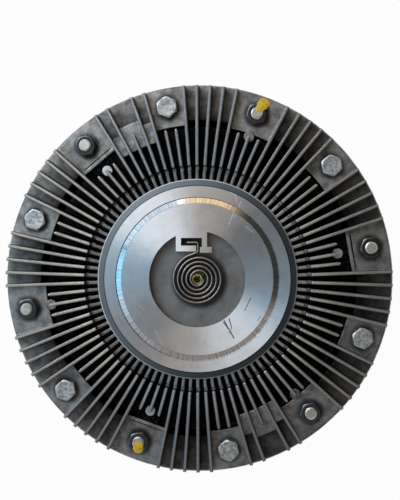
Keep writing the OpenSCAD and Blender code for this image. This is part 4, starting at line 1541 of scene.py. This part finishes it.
@dataclass
class PaintDab:
    """A dab of marker paint that hangs over a stud end, its nut and the pad."""

    name: str
    fasteners: Fasteners
    stud_deg: float
    run_deg: float
    start: float
    end: float
    widths: tuple[float, ...]
    least_half_width: float = 0.05
    waves: tuple[Point, ...] = ((0.06, 2.3), (0.04, 5.9))
    film: float = 0.16
    film_ends: float = 0.4
    lift: float = 0.02
    tuck: float = 0.05
    stud_r: float = 3.3
    over_nut: Point = (0.75, 0.15)
    foot_r: float = 10.2
    rows_per_mm: float = 4.0
    columns: int = 17
    sharp_deg: float = 60.0

    def ground(self, reach: float) -> float:
        """Gives the height of what the paint lies on.

        Args:
            reach: Distance from the axis of the stud.

        Returns:
            The height in millimetres.
        """
        stud_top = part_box("fan_studs")[1].z / MM
        nut_low, nut_top = (corner.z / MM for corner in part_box("stud_nuts"))
        out, up = self.over_nut
        nut_edge = (self.fasteners.hexagon.face_r + out, nut_top + up)
        drops = ((self.stud_r, stud_top), nut_edge, (self.foot_r, nut_low))
        if reach <= self.stud_r:
            return stud_top
        for (r0, z0), (r1, z1) in zip(drops, drops[1:]):
            if reach <= r1:
                return z0 + (z1 - z0) * (reach - r0) / (r1 - r0)
        return nut_low

    def half_width(self, share: float) -> float:
        """Gives half the width of the dab along its run.

        Args:
            share: Place along the run, from 0 to 1.

        Returns:
            Half the width in millimetres.
        """
        place = share * (len(self.widths) - 1)
        i = min(int(place), len(self.widths) - 2)
        t = place - i
        t = t * t * (3 - 2 * t)
        ends = math.sqrt(max(0.0, 1 - (2 * share - 1) ** 6))
        return (self.widths[i] * (1 - t) + self.widths[i + 1] * t) / 2 * ends + self.least_half_width

    def build(self) -> None:
        """Makes the dab."""
        place = Matrix.Rotation(math.radians(-self.stud_deg), 4, "Z")
        place = place @ Matrix.Translation((0, self.fasteners.circle_r, 0))
        place = place @ Matrix.Rotation(math.radians(-self.run_deg), 4, "Z")
        count = round((self.end - self.start) * self.rows_per_mm)
        rows = []
        for i in range(count + 1):
            share = i / count
            run = self.start + (self.end - self.start) * share
            wave = 1 + sum(size * math.sin(rate * run) for size, rate in self.waves)
            half = self.half_width(share) * wave
            thick = self.film_ends + (1 - self.film_ends) * math.sqrt(math.sin(math.pi * share))
            upper, lower = [], []
            for j in range(self.columns):
                across = -1 + 2 * j / (self.columns - 1)
                x = across * half
                z = self.ground(math.hypot(x, run))
                crown = (1 - across**4) * thick
                upper.append(Vector((x, run, z + self.lift + self.film * crown)))
                lower.append(Vector((x, run, z - self.tuck)))
            rows.append(upper + lower[::-1])
        skin = Skin()
        skin.sew(rows, place)
        dab = skin.make(self.name, MarkerPaint("marker_paint"), self.sharp_deg)
        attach(dab, Body.HOUSING.value)
        LOG.info("made %s", dab.name)


@dataclass
class CarriedNodes:
    """The CAD nodes that keep their shape and get a finish."""

    finishes: dict[str, Finish] = field(default_factory=dict)

    def __post_init__(self) -> None:
        """Names the finish of each node."""
        rubber = Moulding("seal_compound", (0.022, 0.022, 0.023), 0.55)
        spring = WorkedMetal("clip_steel", (0.14, 0.14, 0.15), 0.34)
        bearing = WorkedMetal("ground_steel", (0.7, 0.7, 0.71), 0.16, mottle=0.08, turned_slope=0.03)
        cage = Moulding("cage_polyamide", (0.5, 0.31, 0.13), 0.42)
        plate = WorkedMetal("sheet_steel", (0.5, 0.51, 0.53), 0.32, mottle=0.15)
        yellow = WorkedMetal("screw_plating", (0.5, 0.46, 0.16), 0.3)
        shaft_end = ShaftEnd(
            "zinc_painted_dark_end",
            colour=(0.62, 0.62, 0.16),
            roughness=0.12,
            mottle_size=1.3,
            grain_size=1.1,
            grain_depth=0.12,
        )
        shaft = WorkedMetal("turned_steel", (0.4, 0.4, 0.405), 0.3, turned_slope=0.12, mottle=0.25)
        rotor = WorkedMetal("disc_aluminium", (0.66, 0.67, 0.69), 0.28, turned_slope=0.14)
        self.finishes = {
            "front_cover": CoverFinish("cover_casting"),
            "rear_housing": HousingFinish("housing_casting"),
            "input_shaft": shaft,
            "rotor": rotor,
            "partition_plate": plate,
            "valve_arm": plate,
            "valve_shaft": shaft_end,
            "partition_screws": yellow,
            "bearing_inner_ring": bearing,
            "bearing_outer_ring": bearing,
            "bearing_balls": bearing,
            "bearing_cage_rear": cage,
            "bearing_cage_front": cage,
            "bearing_seal_rear": rubber,
            "bearing_seal_front": rubber,
            "housing_seal": rubber,
            "valve_seal": rubber,
            "bearing_circlip": spring,
            "rotor_circlip": spring,
            "valve_clip": spring,
        }

    def dress(self) -> None:
        """Gives each node its finish."""
        for name, finish in self.finishes.items():
            finish.dress(frame["nodes"][name])
            LOG.info("dressed %s in %s", name, finish.name)


def bearing(clock_deg: float, off_axis_deg: float) -> Vector:
    """Gives the unit vector towards a place in the studio.

    Args:
        clock_deg: Its clock angle.
        off_axis_deg: Its angle from the axis of the clutch.

    Returns:
        The vector.
    """
    tilt = math.radians(off_axis_deg)
    return Vector((*clock(clock_deg, math.sin(tilt)), math.cos(tilt)))


@dataclass(frozen=True)
class Glow:
    """A soft patch of the studio that polished metal mirrors."""

    clock_deg: float
    off_axis_deg: float
    inner_deg: float
    outer_deg: float
    colour: Colour

    def mask(self, bench: Bench, way: Wire) -> Wire:
        """Is 1 in the patch and 0 outside it.

        Args:
            bench: The world's node tree.
            way: Direction that is looked along.

        Returns:
            The mask.
        """
        middle = bearing(self.clock_deg, self.off_axis_deg)
        outer, inner = (math.cos(math.radians(deg)) for deg in (self.outer_deg, self.inner_deg))
        return bench.arrow("DOT_PRODUCT", way, middle, output="Value").rise(outer, inner)


@dataclass
class Studio:
    """The floor, the key light and the pale surroundings."""

    floor_half: float = 3.0
    floor_tone: Colour = (0.9, 0.9, 0.9)
    shadow_share: float = 0.035
    key_clock_deg: float = 319.0
    key_off_axis_deg: float = 44.0
    key_distance: float = 1.5
    key_size: float = 1.1
    key_power: float = 8.6
    horizon: Colour = (0.85, 0.85, 0.85)
    dome: Colour = (0.34, 0.345, 0.36)
    dome_from: Point = (0.1, 0.45)
    glows: tuple[Glow, ...] = (
        Glow(130, 52, 26, 44, (0.07, 0.07, 0.075)),
        Glow(268, 50, 16, 30, (0.62, 0.76, 0.88)),
        Glow(352, 52, 14, 26, (0.5, 0.64, 0.82)),
        Glow(292, 46, 10, 24, (0.8, 0.95, 1.1)),
        Glow(58, 44, 14, 30, (0.06, 0.06, 0.065)),
        Glow(60, 13, 5, 14, (0.18, 0.185, 0.2)),
        Glow(282, 30, 9, 17, (0.45, 0.95, 1.25)),
        Glow(8, 26, 9, 16, (1.05, 0.76, 0.42)),
        Glow(160, 27, 18, 32, (0.30, 0.26, 0.23)),
        Glow(70, 24, 14, 24, (0.06, 0.06, 0.05)),
    )

    def floor(self) -> None:
        """Lays a pale floor that is white to the camera and to metal, with a faint shadow."""
        half = self.floor_half
        mesh = bpy.data.meshes.new("floor")
        corners = [(-half, -half, 0), (half, -half, 0), (half, half, 0), (-half, half, 0)]
        mesh.from_pydata(corners, [], [(0, 1, 2, 3)])
        floor = bpy.data.objects.new("floor", mesh)
        bpy.context.scene.collection.objects.link(floor)
        material = bpy.data.materials.new("pale_floor")
        material.use_nodes = True
        bench = Bench(material.node_tree)
        rays = bench.add("ShaderNodeLightPath").outputs
        camera, glossy, through = (
            Wire(bench, rays[name]) for name in ("Is Camera Ray", "Is Glossy Ray", "Is Transmission Ray")
        )
        seen = camera.either(glossy).either(through)
        matt = bench.node("ShaderNodeBsdfDiffuse", {}, {"Color": rgba(self.floor_tone)})
        white = bench.node("ShaderNodeEmission", {}, {"Color": rgba((1, 1, 1)), "Strength": 1.0})
        share = seen * (1 - self.shadow_share)
        mixed = bench.node("ShaderNodeMixShader", {}, {0: share, 1: matt, 2: white})
        bench.add("ShaderNodeOutputMaterial", {}, {"Surface": mixed})
        mesh.materials.append(material)

    def world(self) -> None:
        """Surrounds the part with a soft dome, pale at the horizon, and its patches."""
        world = bpy.data.worlds.new("soft_studio")
        bpy.context.scene.world = world
        world.use_nodes = True
        bench = Bench(world.node_tree)
        way = bench.node("ShaderNodeTexCoord", output="Generated")
        height = bench.node("ShaderNodeSeparateXYZ", {}, {0: way}, 2)
        colour = bench.tint(height.rise(*self.dome_from), self.horizon, self.dome)
        for glow in self.glows:
            colour = bench.tint(glow.mask(bench, way), colour, glow.colour)
        light = bench.node("ShaderNodeBackground", {}, {"Color": colour, "Strength": 1.0})
        bench.add("ShaderNodeOutputWorld", {}, {"Surface": light})

    def key(self, target: Vector) -> None:
        """Hangs the key softbox.

        Args:
            target: The point that it lights.
        """
        data = bpy.data.lights.new("key_softbox", "AREA")
        data.shape = "DISK"
        data.size = self.key_size
        data.energy = self.key_power
        lamp = bpy.data.objects.new("key_softbox", data)
        toward = bearing(self.key_clock_deg, self.key_off_axis_deg)
        lamp.location = target + toward * self.key_distance
        lamp.rotation_euler = toward.to_track_quat("Z", "Y").to_euler()
        lamp.visible_camera = False
        bpy.context.scene.collection.objects.link(lamp)

    def build(self, target: Vector) -> None:
        """Sets up the studio around the part.

        Args:
            target: Middle of the front face.
        """
        self.floor()
        self.world()
        self.key(target)
        bpy.context.scene.view_settings.view_transform = "Standard"
        LOG.info("set up the studio")


@dataclass
class PhotoCamera:
    """The camera, almost on the axis of the clutch."""

    distance: float = 0.600
    lean_right_deg: float = 2.73
    lean_up_deg: float = 2.09
    aim: Point = (0.00203, 0.01915)
    roll_deg: float = 0.19
    lens: float = 65.73
    sensor: float = 36.0
    clip: Point = (0.01, 20.0)

    def build(self, target: Vector) -> None:
        """Places the camera.

        Args:
            target: Middle of the front face.
        """
        data = bpy.data.cameras.new("photo_camera")
        data.lens = self.lens
        data.sensor_width = self.sensor
        data.clip_start, data.clip_end = self.clip
        camera = bpy.data.objects.new("photo_camera", data)
        side, rise = (math.sin(math.radians(deg)) for deg in (self.lean_right_deg, self.lean_up_deg))
        eye = target + Vector((side, rise, math.sqrt(1 - side**2 - rise**2))) * self.distance
        forward = (Vector((*self.aim, target.z)) - eye).normalized()
        right = forward.cross(Vector((*clock(self.roll_deg), 0))).normalized()
        turn = Matrix((right, right.cross(forward), -forward)).transposed()
        camera.matrix_world = Matrix.Translation(eye) @ turn.to_4x4()
        bpy.context.scene.collection.objects.link(camera)
        bpy.context.scene.camera = camera


def main() -> None:
    """Builds the scene."""
    logging.basicConfig(level=logging.INFO, format="%(name)s: %(message)s")
    face = Vector((0, 0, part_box("front_cover")[1].z))
    PhotoCamera().build(face)
    Studio().build(face)
    CarriedNodes().dress()
    fasteners = Fasteners()
    fasteners.build()
    Coil().build()
    upper = PaintDab(
        "paint_upper",
        fasteners,
        stud_deg=20,
        run_deg=13,
        start=0.6,
        end=12.4,
        widths=(3.6, 5.6, 7.4, 8.2, 6.6),
    )
    lower = PaintDab(
        "paint_lower",
        fasteners,
        stud_deg=200,
        run_deg=-20,
        start=-1.2,
        end=7.0,
        widths=(4.8, 6.6, 6.8, 5.2),
    )
    for dab in (upper, lower):
        dab.build()


if __name__ == "__main__":
    main()
